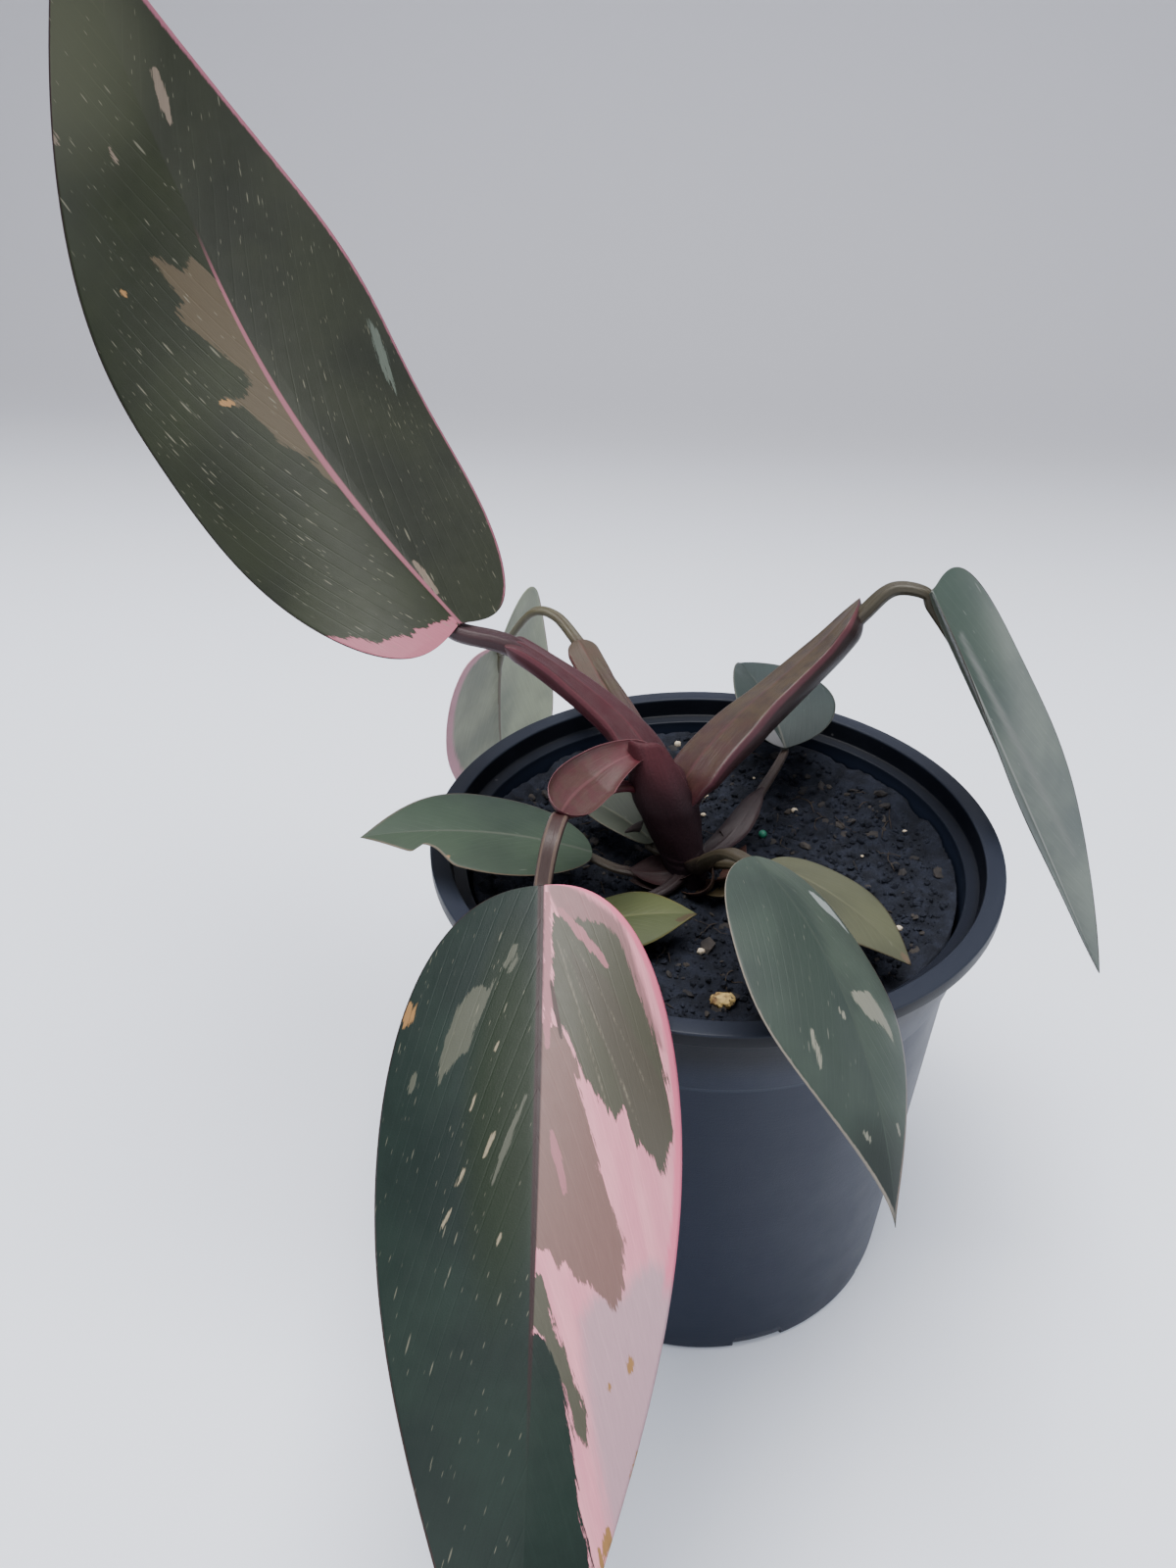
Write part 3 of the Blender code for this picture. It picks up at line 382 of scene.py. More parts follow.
class Graph:
    """A material's node tree, written as calls.  A value is a socket, a number or a colour."""

    def __init__(self, name):
        self.material = bpy.data.materials.new(name)
        self.material.use_nodes = True
        self.tree = self.material.node_tree
        self.shader = self.tree.nodes["Principled BSDF"]

    def set(self, socket, value):
        if isinstance(value, bpy.types.NodeSocket):
            self.tree.links.new(value, socket)
        elif isinstance(value, tuple) and len(socket.default_value) == 4:
            socket.default_value = (*value, 1.0)
        else:
            socket.default_value = value

    def node(self, kind, **settings):
        made = self.tree.nodes.new("ShaderNode" + kind)
        for key, value in settings.items():
            setattr(made, key, value)
        return made

    def math(self, operation, a, b=0.0, c=0.0):
        made = self.node("Math", operation=operation)
        for socket, value in zip(made.inputs, (a, b, c)):
            self.set(socket, value)
        return made.outputs[0]

    def ramp(self, value, low, high, start=0.0, end=1.0):
        """Smooth step of the value from low to high."""
        made = self.node("MapRange", interpolation_type="SMOOTHSTEP")
        for socket, entry in zip(made.inputs, (value, low, high, start, end)):
            self.set(socket, entry)
        return made.outputs[0]

    def mix(self, factor, a, b):
        """Colour a where the factor is 0 and b where it is 1."""
        made = self.node("Mix", data_type="RGBA")
        self.set(made.inputs[0], factor)
        self.set(made.inputs[6], a)
        self.set(made.inputs[7], b)
        return made.outputs[2]

    def tint(self, factor, a, b):
        """Colour a multiplied by colour b, as far as the factor says."""
        made = self.node("Mix", data_type="RGBA", blend_type="MULTIPLY")
        self.set(made.inputs[0], factor)
        self.set(made.inputs[6], a)
        self.set(made.inputs[7], b)
        return made.outputs[2]

    def attribute(self, name):
        return self.node("Attribute", attribute_name=name)

    def split(self, vector):
        made = self.node("SeparateXYZ")
        self.set(made.inputs[0], vector)
        return made.outputs

    def join(self, x, y, z=0.0):
        made = self.node("CombineXYZ")
        for socket, value in zip(made.inputs, (x, y, z)):
            self.set(socket, value)
        return made.outputs[0]

    def place(self):
        """Object coordinates in millimetres."""
        coordinates = self.node("TexCoord").outputs["Object"]
        made = self.node("VectorMath", operation="SCALE")
        self.set(made.inputs[0], coordinates)
        made.inputs["Scale"].default_value = 1 / MM
        return made.outputs[0]

    def noise(self, vector, scale, detail=2.0, roughness=0.5):
        made = self.node("TexNoise")
        self.set(made.inputs["Vector"], vector)
        made.inputs["Scale"].default_value = scale
        made.inputs["Detail"].default_value = detail
        made.inputs["Roughness"].default_value = roughness
        return made.outputs["Fac"]

    def cells(self, vector, scale, jitter=1.0):
        """Distance to the nearest random point, and that point's own random value."""
        made = self.node("TexVoronoi")
        self.set(made.inputs["Vector"], vector)
        made.inputs["Scale"].default_value = scale
        made.inputs["Randomness"].default_value = jitter
        return made.outputs["Distance"], self.split(made.outputs["Color"])[0]

    def bump(self, height, distance, strength=1.0):
        made = self.node("Bump")
        self.set(made.inputs["Height"], height)
        made.inputs["Distance"].default_value = distance
        made.inputs["Strength"].default_value = strength
        self.tree.links.new(made.outputs[0], self.shader.inputs["Normal"])

    def finish(self, color, roughness, **others):
        self.set(self.shader.inputs["Base Color"], color)
        self.set(self.shader.inputs["Roughness"], roughness)
        for key, value in others.items():
            self.set(self.shader.inputs[key.replace("_", " ").title().replace("Ior", "IOR")], value)
        return self.material


def link_mesh(name, points, faces, smooth=True):
    """A mesh object from arrays of points in metres and of faces."""
    mesh = bpy.data.meshes.new(name)
    mesh.from_pydata(np.asarray(points, float).tolist(), [], faces)
    mesh.update()
    if smooth:
        mesh.shade_smooth()
    made = bpy.data.objects.new(name, mesh)
    bpy.context.scene.collection.objects.link(made)
    return made


def store(made, name, values):
    """Store a number or a vector for each point of a mesh."""
    values = np.asarray(values, np.float32)
    kind = "FLOAT" if values.ndim == 1 else "FLOAT_VECTOR"
    layer = made.data.attributes.new(name, kind, "POINT")
    layer.data.foreach_set("value" if values.ndim == 1 else "vector", values.ravel())


def dress(made, material, slot, *nodes):
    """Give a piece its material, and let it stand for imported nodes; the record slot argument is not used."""
    made.data.materials.clear()
    made.data.materials.append(material)
    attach(made, "root")
    if nodes:
        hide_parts(*nodes)
    return made


def unit(vectors):
    return vectors / np.linalg.norm(vectors, axis=-1, keepdims=True)


def blade_outline(leaf, share):
    """Edge of one half: share 0 at the stalk, 1 at the tip; gives x/length and y/half width."""
    angle = np.minimum(share, 0.5) * math.pi
    u = np.clip(2 * share - 1, 0, 1)
    low = leaf["widest"] * (1 - np.cos(angle)) - leaf["lobe"] * np.sin(2 * angle)
    high = leaf["widest"] + (1 - leaf["widest"]) * u
    x = np.where(share <= 0.5, low, high)
    y = np.where(share <= 0.5, np.sin(angle) ** leaf["fullness"],
                 np.maximum(np.cos(math.pi * u / 2), 0) ** leaf["taper"])
    return x, y


def blade_spine(leaf, count=60):
    """Points, headings and level side vectors along the midrib."""
    s = np.linspace(0, 1, count + 1)
    turn = s ** leaf["bend"]
    elevation = np.radians(leaf["elevation"] - leaf["droop"] * turn)
    azimuth = np.radians(leaf["azimuth"] + leaf["sweep"] * turn)
    heading = np.stack([np.cos(elevation) * np.cos(azimuth), np.cos(elevation) * np.sin(azimuth),
                        np.sin(elevation)], -1)
    side = np.stack([np.sin(azimuth), -np.cos(azimuth), np.zeros_like(azimuth)], -1)
    step = leaf["length"] * MM / count
    points = [np.array(leaf["base"]) * MM]
    for k in range(count):
        points.append(points[-1] + (heading[k] + heading[k + 1]) / 2 * step)
    return s, np.array(points), heading, side


def blade_place(leaf, x, y):
    """Place the flat blade's points (arrays x along and y across, in metres) in space, with normals."""
    s, points, headings, sides = blade_spine(leaf)
    share = np.clip(x / (leaf["length"] * MM), 0, 1)
    point, heading, side = (np.stack([np.interp(share, s, a[:, i]) for i in range(3)], -1)
                            for a in (points, headings, sides))
    heading = unit(heading)
    point = point + np.minimum(x, 0)[..., None] * heading
    normal = unit(np.cross(side, heading))
    roll = np.radians(leaf["roll"] + leaf["twist"] * share)[..., None]
    across_axis = side * np.cos(roll) - normal * np.sin(roll)
    normal = normal * np.cos(roll) + side * np.sin(roll)
    right = y > 0

    def pick(key):
        return np.where(right, leaf[key + "right"], leaf[key + "left"])

    half = pick("") * MM
    fold = np.radians(pick("fold_"))
    curl = np.radians(pick("curl_")) / half
    curl = np.where(np.abs(curl) < 1e-3, 1e-3, curl)
    reach = np.abs(y)
    across = (np.sin(fold) - np.sin(fold - curl * reach)) / curl
    lift = (np.cos(fold - curl * reach) - np.cos(fold)) / curl
    phase = 2 * math.pi * leaf["waves"] * share
    phase = phase + np.where(right, WAVE_PHASE["right"], WAVE_PHASE["left"])
    lift = lift + leaf["wave"] * MM * (reach / half) ** 2 * np.sin(phase)
    place = point + across_axis * (across * np.sign(y))[..., None] + normal * lift[..., None]
    tilt = fold - curl * reach
    local = normal * np.cos(tilt)[..., None] - across_axis * (np.sin(tilt) * np.sign(y))[..., None]
    return place, unit(local)


def segment_distance(x, y, a, b):
    """Distance of points to the segment from a to b, and the share of the way along it."""
    dx, dy = b[0] - a[0], b[1] - a[1]
    along = np.clip(((x - a[0]) * dx + (y - a[1]) * dy) / max(dx * dx + dy * dy, 1e-9), 0, 1)
    return np.hypot(x - a[0] - along * dx, y - a[1] - along * dy), along


def patch_depth(x, y, layer):
    """How deep each flat point (mm) lies inside the layer's outlines and streaks; negative outside."""
    depth = np.full(x.shape, -6.0)
    for outline in layer.get("outlines", []):
        near = np.full(x.shape, 1e9)
        inside = np.zeros(x.shape, bool)
        for a, b in zip(outline, outline[1:] + outline[:1]):
            near = np.minimum(near, segment_distance(x, y, a, b)[0])
            if a[1] != b[1]:
                crossing = (a[1] > y) != (b[1] > y)
                inside ^= crossing & (x < (b[0] - a[0]) * (y - a[1]) / (b[1] - a[1]) + a[0])
        depth = np.maximum(depth, np.where(inside, near, -near))
    for start, end, width in layer.get("streaks", []):
        near, along = segment_distance(x, y, start, end)
        depth = np.maximum(depth, width * np.sin(math.pi * (0.12 + 0.76 * along)) ** 0.6 - near)
    return np.clip(depth, -6, 6)


def build_blade(name, leaf, look):
    """A closed, thin, finely meshed blade, with the marks that its material reads."""
    length = leaf["length"] * MM
    shares = np.arange(1, leaf["rows"]) / leaf["rows"]
    outlines = [blade_outline({**leaf, **leaf.get(side, {})}, shares) for side in ("left_form", "right_form")]
    x_mid = shares ** 2 * length
    steps = (np.arange(1, leaf["columns"] + 1) / leaf["columns"]) ** 1.3
    parts = np.concatenate([-steps[::-1], [0.0], steps])
    hand = np.sign(parts)[None, :]
    part = np.abs(parts)[None, :]
    half = np.where(hand > 0, leaf["right"], leaf["left"]) * MM
    x_edge = np.where(hand > 0, outlines[1][0][:, None], outlines[0][0][:, None]) * length
    width = np.where(hand > 0, outlines[1][1][:, None], outlines[0][1][:, None]) * half
    for side, place, spread, bite in look.get("notches", []):
        cut = bite * MM * np.exp(-(np.abs(x_edge / MM - place) / spread) ** 3)
        width = width - np.where(hand == (1 if side == "right" else -1), cut, 0)
    x = x_mid[:, None] + (x_edge - x_mid[:, None]) * part ** ROW_BOW
    y = hand * part * width
    edge = (1 - part) * width

    def ended(grid, first, last):
        """Add the single points at the stalk and at the tip to a grid, as one flat array."""
        return np.concatenate([[first], grid.ravel(), [last]])

    x, y = ended(x, 0.0, length), ended(y, 0.0, 0.0)
    edge = ended(edge, 0.0, 0.0)
    along = np.clip(x / length, 0, 1)
    place, normal = blade_place(leaf, x, y + leaf.get("bent", 0.0) * MM * along ** 2)
    shift, shift_end = look.get("midrib_shift", (0.0, 1.0))
    y = y - shift * MM * np.sin(math.pi * np.clip(x / MM / shift_end, 0, 1))
    reach = np.abs(y)
    lean = VEIN_LEAN * reach + VEIN_CURVE * reach ** 2 / (np.where(y > 0, leaf["right"], leaf["left"]) * MM)
    vein = x - lean
    run = np.sign(y) * np.hypot(reach, lean)
    taper = np.clip((1 - along) ** 0.7, 0.12, 1) * np.clip(edge / (2 * MM), 0, 1)
    groove = 0.1 * MM * taper * np.exp(-(y / GROOVE_WIDTH) ** 2)
    quilt = 0.006 * MM * np.sin(2 * math.pi * vein / (0.06 * length))
    quilt = quilt * np.clip(np.abs(run) / (6 * MM), 0, 1) * np.clip(edge / (4 * MM), 0, 1)
    upper = place + normal * (quilt - groove)[:, None]
    rib = (leaf["midrib"] * MM - CAD_THICKNESS) * (1 - along) ** 0.8 * np.exp(-(y / RIB_WIDTH) ** 2)
    body = EDGE_THICKNESS + (BLADE_THICKNESS - EDGE_THICKNESS) * np.clip(edge / (3 * MM), 0, 1)
    lower = upper - normal * (body + np.clip(rib, 0, None))[:, None]

    count = len(x)
    columns = len(parts)
    rows = len(shares)
    index = np.arange(1, count - 1).reshape(rows, columns)
    near, far = index[:-1, :-1].ravel(), index[1:, :-1].ravel()
    top = np.stack([near, near + 1, far + 1, far], -1)
    faces = top.tolist() + (top[:, ::-1] + count).tolist()
    first, last = index[0], index[-1]
    for a, b in zip(first[:-1].tolist(), first[1:].tolist()):
        faces += [(0, b, a), (count, a + count, b + count)]
    for a, b in zip(last[:-1].tolist(), last[1:].tolist()):
        faces += [(a, b, count - 1), (2 * count - 1, b + count, a + count)]
    rim = [0] + index[:, -1].tolist() + [count - 1] + index[::-1, 0].tolist()
    for a, b in zip(rim, rim[1:] + rim[:1]):
        faces.append((a, a + count, b + count, b))
    made = link_mesh("leaf_" + name, np.concatenate([upper, lower]), faces)
    bmesh_outward(made)
    under = np.concatenate([np.zeros(count), np.ones(count)])
    store(made, "flat", np.stack([np.tile(x, 2) / MM, np.tile(y, 2) / MM, under], -1))
    store(made, "veins", np.stack([np.tile(vein, 2), np.tile(run, 2), np.tile(edge, 2)], -1) / MM)
    for k, layer in enumerate(look["layers"]):
        store(made, "patch_%d" % k, np.tile(patch_depth(x / MM, y / MM, layer), 2))
    return made


def bmesh_outward(made):
    """Turn every face of a closed mesh outward."""
    shape = bmesh.new()
    shape.from_mesh(made.data)
    bmesh.ops.recalc_face_normals(shape, faces=shape.faces)
    shape.to_mesh(made.data)
    shape.free()


def leaf_material(name, leaf, look):
    """Leaf skin: ground colours, variegation, flecks along the veins, midrib, margins, underside, and a soft spot that
    is painted sheen on the upright leaf.
    """
    g = Graph("leaf " + name)
    x, y, under = g.split(g.attribute("flat").outputs["Vector"])
    vein, run, edge = g.split(g.attribute("veins").outputs["Vector"])
    grain = g.place()
    seed = 17.0 * list(LEAVES).index(name)
    streaked = g.join(g.math("MULTIPLY_ADD", vein, 0.26, seed), g.math("MULTIPLY", run, 0.06))
    teeth = g.math("SUBTRACT", g.noise(streaked, 1.4, 5.0, 0.72), 0.5)
    cloud = g.noise(grain, 0.045, 3.0)
    right_half = g.ramp(y, -0.4, 0.4)
    color = g.mix(right_half, look["colors"][0], look["colors"][1])
    color = g.tint(1.0, color, g.mix(g.ramp(cloud, 0.3, 0.7), (0.80, 0.80, 0.82), (1.22, 1.20, 1.14)))
    color = g.tint(0.5, color, g.mix(g.noise(streaked, 2.4, 4.0), (0.75, 0.75, 0.75), (1.25, 1.25, 1.25)))
    # A soft round spot of another colour: painted sheen on the upright leaf, a darker patch on the others.
    if "spot_and_sheen" in look:
        spot_and_sheen, centre, offset, reach_x, reach_y = look["spot_and_sheen"]
        dx = g.math("DIVIDE", g.math("SUBTRACT", x, float(centre)), float(reach_x))
        dy = g.math("DIVIDE", g.math("SUBTRACT", y, float(offset)), float(reach_y))
        spot = g.math("ADD", g.math("MULTIPLY", dx, dx), g.math("MULTIPLY", dy, dy))
        color = g.mix(g.ramp(spot, 1.3, 0.1, 0.0, 0.8), color, spot_and_sheen)
    for k, layer in enumerate(look["layers"]):
        depth = g.attribute("patch_%d" % k).outputs["Fac"]
        depth = g.math("MULTIPLY_ADD", teeth, 4.2 * layer["jag"], depth)
        soft = layer.get("soft", 0.12)
        mask = g.ramp(depth, -soft, soft)
        if "side" in layer:
            mask = g.math("MULTIPLY", mask, g.ramp(y, 0.15, -0.15) if layer["side"] == "left" else g.ramp(y, -0.15, 0.15))
        paint = layer["color"]
        if "blend" in layer:
            wash = g.noise(g.join(g.math("MULTIPLY", vein, 0.06), g.math("MULTIPLY", run, 0.03)), 1.0, 2.0)
            paint = g.mix(g.ramp(wash, 0.35, 0.65), layer["color"], layer["blend"])
        fine = g.noise(streaked, 4.0, 3.0)
        paint = g.tint(0.45, paint, g.mix(fine, (0.72, 0.72, 0.72), (1.3, 1.3, 1.3)))
        color = g.mix(mask, color, paint)
    for hand, (margin, width, start, end) in look["margins"].items():
        side = g.ramp(y, -0.2, 0.2) if hand == "right" else g.ramp(y, 0.2, -0.2)
        rim = g.math("ADD", edge, g.math("MULTIPLY", teeth, 0.9 * width))
        band = g.math("MULTIPLY", side, g.ramp(rim, width * 1.1, width * 0.55))
        span = g.math("MULTIPLY", g.ramp(x, start - 2.0, start + 2.0), g.ramp(x, end + 2.0, end - 6.0))
        color = g.mix(g.math("MULTIPLY", band, span), color, margin)
    lanes = g.math("MULTIPLY_ADD", g.noise(g.join(vein, g.math("MULTIPLY", run, 0.1)), 0.12), 2.2, vein)
    lane = g.math("PINGPONG", lanes, 0.02 * leaf["length"] + 1.2)
    side_vein = g.ramp(lane, 0.7, 0.1)
    side_vein = g.math("MULTIPLY", side_vein, g.ramp(edge, 0.5, 5.0))
    color = g.tint(g.math("MULTIPLY", side_vein, 0.14), color, (1.5, 1.45, 1.42))
    cell = g.join(g.math("MULTIPLY_ADD", vein, 0.42, seed), g.math("MULTIPLY", run, 0.18))
    for scale, share, size in ((0.42, 0.3, 0.16), (0.8, 0.6, 0.19), (1.5, 0.8, 0.18)):
        distance, chance = g.cells(cell, scale)
        speck = g.math("MULTIPLY", g.ramp(chance, 1.0 - look["flecks"] * share, 1.001 - look["flecks"] * share),
                       g.ramp(distance, size, size * 0.55))
        if "fleck_side" in look:
            speck = g.math("MULTIPLY", speck, g.ramp(g.math("MULTIPLY", y, float(look["fleck_side"])), -0.5, 0.5))
        color = g.mix(g.math("MULTIPLY", speck, 0.55), color, look["fleck_color"])
    rib_color, rib_width, fade_start, fade_end = look["rib"]
    width = g.ramp(x, 0.3 * fade_end, fade_end, rib_width, rib_width * 0.4)
    width = g.math("MULTIPLY", width, g.ramp(x, 0.0, 0.4 * fade_end, look.get("rib_start", 1.0), 1.0))
    across = g.math("DIVIDE", g.math("ABSOLUTE", y), width)
    line = g.math("MULTIPLY", g.ramp(across, 1.0, 0.45), g.ramp(x, fade_end, fade_start))
    color = g.mix(line, color, rib_color)
    pale = g.mix(look.get("pale", 0.45), color, look["under"])
    color = g.mix(under, color, pale)
    pores = g.noise(grain, 3.0, 2.0)
    height = g.math("MULTIPLY_ADD", side_vein, -0.3, g.math("MULTIPLY", pores, 0.25))
    height = g.math("MULTIPLY_ADD", g.noise(streaked, 6.0, 2.0), 0.35, height)
    g.bump(height, 0.12 * MM, 0.5)
    sheen = g.math("MULTIPLY_ADD", g.noise(grain, 0.35, 3.0), 0.16, look["gloss"] - 0.04)
    sheen = g.math("MULTIPLY_ADD", under, 0.12, sheen)
    return g.finish(color, sheen, specular_ior_level=0.25)


def smooth_route(points, steps):
    """Read points from a smooth curve through the given ones, a number of steps for each stretch."""
    pts = [np.array(p, float) for p in points]
    pts = [2 * pts[0] - pts[1]] + pts + [2 * pts[-1] - pts[-2]]
    route = []
    for k in range(1, len(pts) - 2):
        p0, p1, p2, p3 = pts[k - 1:k + 3]
        for t in np.linspace(0, 1, steps, endpoint=False):
            route.append(0.5 * (2 * p1 + (p2 - p0) * t + (2 * p0 - 5 * p1 + 4 * p2 - p3) * t ** 2
                                + (3 * p1 - p0 - 3 * p2 + p3) * t ** 3))
    route.append(pts[-2])
    return np.array(route)


STALK_SIDES = 64
STALK_STEPS = 16


def loft(name, rings):
    """A closed mesh through rings of points, with flat ends."""
    sides = len(rings[0])
    faces = [tuple(range(sides))]
    for k in range(len(rings) - 1):
        for n in range(sides):
            a, b = k * sides + n, k * sides + (n + 1) % sides
            faces.append((a, a + sides, b + sides, b))
    faces.append(tuple(reversed(range((len(rings) - 1) * sides, len(rings) * sides))))
    made = link_mesh(name, np.concatenate(rings), faces)
    bmesh_outward(made)
    return made


def route_frames(route):
    """Directions along, across and up at each point of a route."""
    along = unit(np.gradient(route, axis=0))
    across = unit(np.cross(along, (0.0, 0.0, 1.0)))
    return along, across, np.cross(across, along)


def section(width, depth, hollow, rim):
    """Cross-section of a sheath: a round back, a hollow or full face and two thin rims; x, up, from_top."""
    angle = 2 * math.pi * (np.arange(STALK_SIDES) + 0.5) / STALK_SIDES
    half = width / 2
    face = np.sin(angle) > 0
    up = np.where(face, -hollow * half * np.abs(np.sin(angle)) ** 0.6, half * depth * np.sin(angle))
    up = up + rim * np.abs(np.cos(angle)) ** 5
    from_top = np.abs(angle - math.pi / 2)
    from_top = np.minimum(from_top, 2 * math.pi - from_top)
    keel = np.exp(-(from_top / 0.06) ** 2) * min(half / (4 * MM), 1.0) * 0.18 * MM
    return half * np.cos(angle) * (1 + 0.012 * np.sin(angle * 11)), up + np.where(face, keel, 0), from_top


def build_sheath(name, route, marks, stalk):
    """The sheath of a stalk, down to the point where its lip ends."""
    end, closing = stalk["end"], stalk["closing"]
    along, across, top = route_frames(route)
    moved = np.array(stalk.get("moved", [(0.0, 0.0, 0.0)])) * MM
    rings, facts = [], []
    steps = np.concatenate([np.linspace(0, end - closing, 40, endpoint=False),
                            end - closing * (1 - np.sin(np.linspace(0, math.pi / 2, 26)))])
    for mark in steps:
        centre, side, up = (np.array([np.interp(mark, marks, a[:, i]) for i in range(3)])
                            for a in (route, across, top))
        centre = centre + [np.interp(mark, range(len(moved)), moved[:, i]) for i in range(3)]
        left = np.clip((end - mark) / closing, 0.0, 1.0)
        shut = max((1 - (1 - left) ** 2) ** stalk["point"], 0.02)
        width = np.interp(mark, range(len(stalk["sheath"])), stalk["sheath"]) * MM * shut
        x, z, from_top = section(width, stalk["depth"], stalk["hollow"], stalk["rim"] * MM * shut)
        rise = stalk["lift"] * MM * (mark / end) ** 3 + (1 - shut) * stalk["lift"] * 0.9 * MM
        x = x + stalk.get("lean", 0.0) * width * (1 / shut - 1) / 2
        roll = math.radians(stalk.get("roll", 0.0)) * min(1.0, 2 * mark / end)
        side, up = side * math.cos(roll) - up * math.sin(roll), up * math.cos(roll) + side * math.sin(roll)
        rings.append(centre + side * x[:, None] + up * (z + rise)[:, None])
        facts.append(np.stack([np.full(STALK_SIDES, mark / len(stalk["route"])), from_top,
                               np.full(STALK_SIDES, mark * 10.0)], -1))
    made = loft("sheath_" + name, rings)
    store(made, "stalk", np.concatenate(facts))
    return made


def build_stalk(name, stalk, leaf):
    """The core of a leaf stalk: a slim channelled tube from the stem to the blade."""
    base, _ = blade_place(leaf, np.zeros(1), np.zeros(1))
    _, _, headings, sides = blade_spine(leaf)
    roll = math.radians(leaf["roll"])
    normal = np.cross(sides[0], headings[0]) * math.cos(roll) + sides[0] * math.sin(roll)
    tip_width = stalk["core"][-1] * MM
    drop = tip_width * stalk["depth"] / 2 + CAD_THICKNESS + (0.1 - stalk.get("seat", 0.0)) * MM
    knots = [np.array(p) * MM for p in stalk["route"]] + [base[0] - headings[0] * 0.42 * MM - normal * drop]
    stalk_end = len(knots) - 1
    under, under_normal = blade_place(leaf, np.array([0.03, 0.08, 0.15]) * leaf["length"] * MM, np.zeros(3))
    for k, share in enumerate((0.85, 0.5, 0.1)):
        knots.append(under[k] - under_normal[k] * (BLADE_THICKNESS + share * tip_width * stalk["depth"] / 2))
    core = stalk["core"] + [stalk["core"][-1] * share for share in (0.8, 0.55, 0.25)]
    route = smooth_route(knots, STALK_STEPS)
    marks = np.linspace(0, len(knots) - 1, len(route))
    along, across, top = route_frames(route)
    widths = np.interp(marks, range(len(knots)), np.array(core) * MM)
    buried = np.clip((stalk.get("end", 0.0) + 0.05 - marks) / 0.7, 0, 1)
    sink = stalk.get("sink", 0.0) * MM * buried * buried * (3 - 2 * buried)
    angle = 2 * math.pi * np.arange(STALK_SIDES) / STALK_SIDES
    from_top = np.abs(angle - math.pi / 2)
    from_top = np.minimum(from_top, 2 * math.pi - from_top)
    channel = 0.24 * np.exp(-(from_top / 0.42) ** 2) - 0.07 * np.exp(-((from_top - 0.8) / 0.22) ** 2)
    rings, facts = [], []
    for k, centre in enumerate(route):
        half = widths[k] / 2
        x = half * np.cos(angle) * (1 + 0.025 * np.sin(angle * 9 + 2))
        z = half * stalk["depth"] * np.sin(angle) * (1 - channel)
        rings.append(centre + across[k] * x[:, None] + top[k] * (z - sink[k])[:, None])
        facts.append(np.stack([np.full(STALK_SIDES, min(marks[k] / stalk_end, 1.0)), from_top,
                               np.full(STALK_SIDES, marks[k] * 10.0)], -1))
    made = loft("petiole_" + name, rings)
    store(made, "stalk", np.concatenate(facts))
    return made, route, marks


def stalk_material(name, stalk, sheath):
    """Stalk skin: colours along the length and round the section, fine lengthwise streaks, pale rims."""
    g = Graph(("sheath " if sheath else "stalk ") + name)
    share, around, run = g.split(g.attribute("stalk").outputs["Vector"])
    place = g.place()
    blotch = g.math("MULTIPLY", g.math("SUBTRACT", g.noise(place, 0.14, 4.0), 0.5), 0.45)
    lines = g.noise(g.join(g.math("MULTIPLY", around, 9.0), g.math("MULTIPLY", run, 0.12)), 1.6, 4.0, 0.6)
    shifted = g.math("ADD", share, blotch)
    if sheath:
        inner = g.ramp(g.math("ADD", around, g.math("MULTIPLY", blotch, 0.2)), 1.75, 1.45)
        color = g.mix(inner, stalk["flank"], stalk["face"])
        flush = g.math("MULTIPLY", g.ramp(g.noise(place, 0.3, 3.0), 0.42, 0.62, 0.0, 0.55), inner)
        color = g.mix(flush, color, stalk["flank"])
    else:
        color = g.mix(g.ramp(shifted, 0.35, 0.8), stalk["flank"], stalk["tip"])
        if "ridge" in stalk:
            crest = g.ramp(g.math("ABSOLUTE", g.math("SUBTRACT", around, 0.85)), 0.3, 0.12)
            color = g.mix(g.math("MULTIPLY", crest, 0.75), color, stalk["ridge"])
    # Darker foot near the stem: the stalk's own colour, and on the small stalks under the scales also painted shade.
    color = g.mix(g.ramp(shifted, 0.42, 0.02), color, stalk["root"])
    color = g.tint(0.65, color, g.mix(lines, (0.55, 0.52, 0.52), (1.45, 1.42, 1.40)))
    if sheath:
        off_rim = g.math("ABSOLUTE", g.math("SUBTRACT", around, math.pi / 2))
        color = g.mix(g.ramp(off_rim, 0.26, 0.10, 0.0, 0.8), color, stalk["edge"])
        color = g.mix(g.ramp(around, 0.07, 0.02, 0.0, 0.6), color, stalk["edge"])
    specks = g.noise(place, 2.2, 2.0)
    color = g.tint(g.ramp(specks, 0.6, 0.72, 0.0, 0.5), color, (0.6, 0.55, 0.55))
    color = g.tint(0.6, color, g.mix(g.noise(place, 1.1, 4.0, 0.7), (0.6, 0.6, 0.6), (1.4, 1.4, 1.4)))
    g.bump(lines, 0.18 * MM, 0.5)
    return g.finish(color, g.math("MULTIPLY_ADD", lines, 0.2, 0.34), specular_ior_level=0.4)


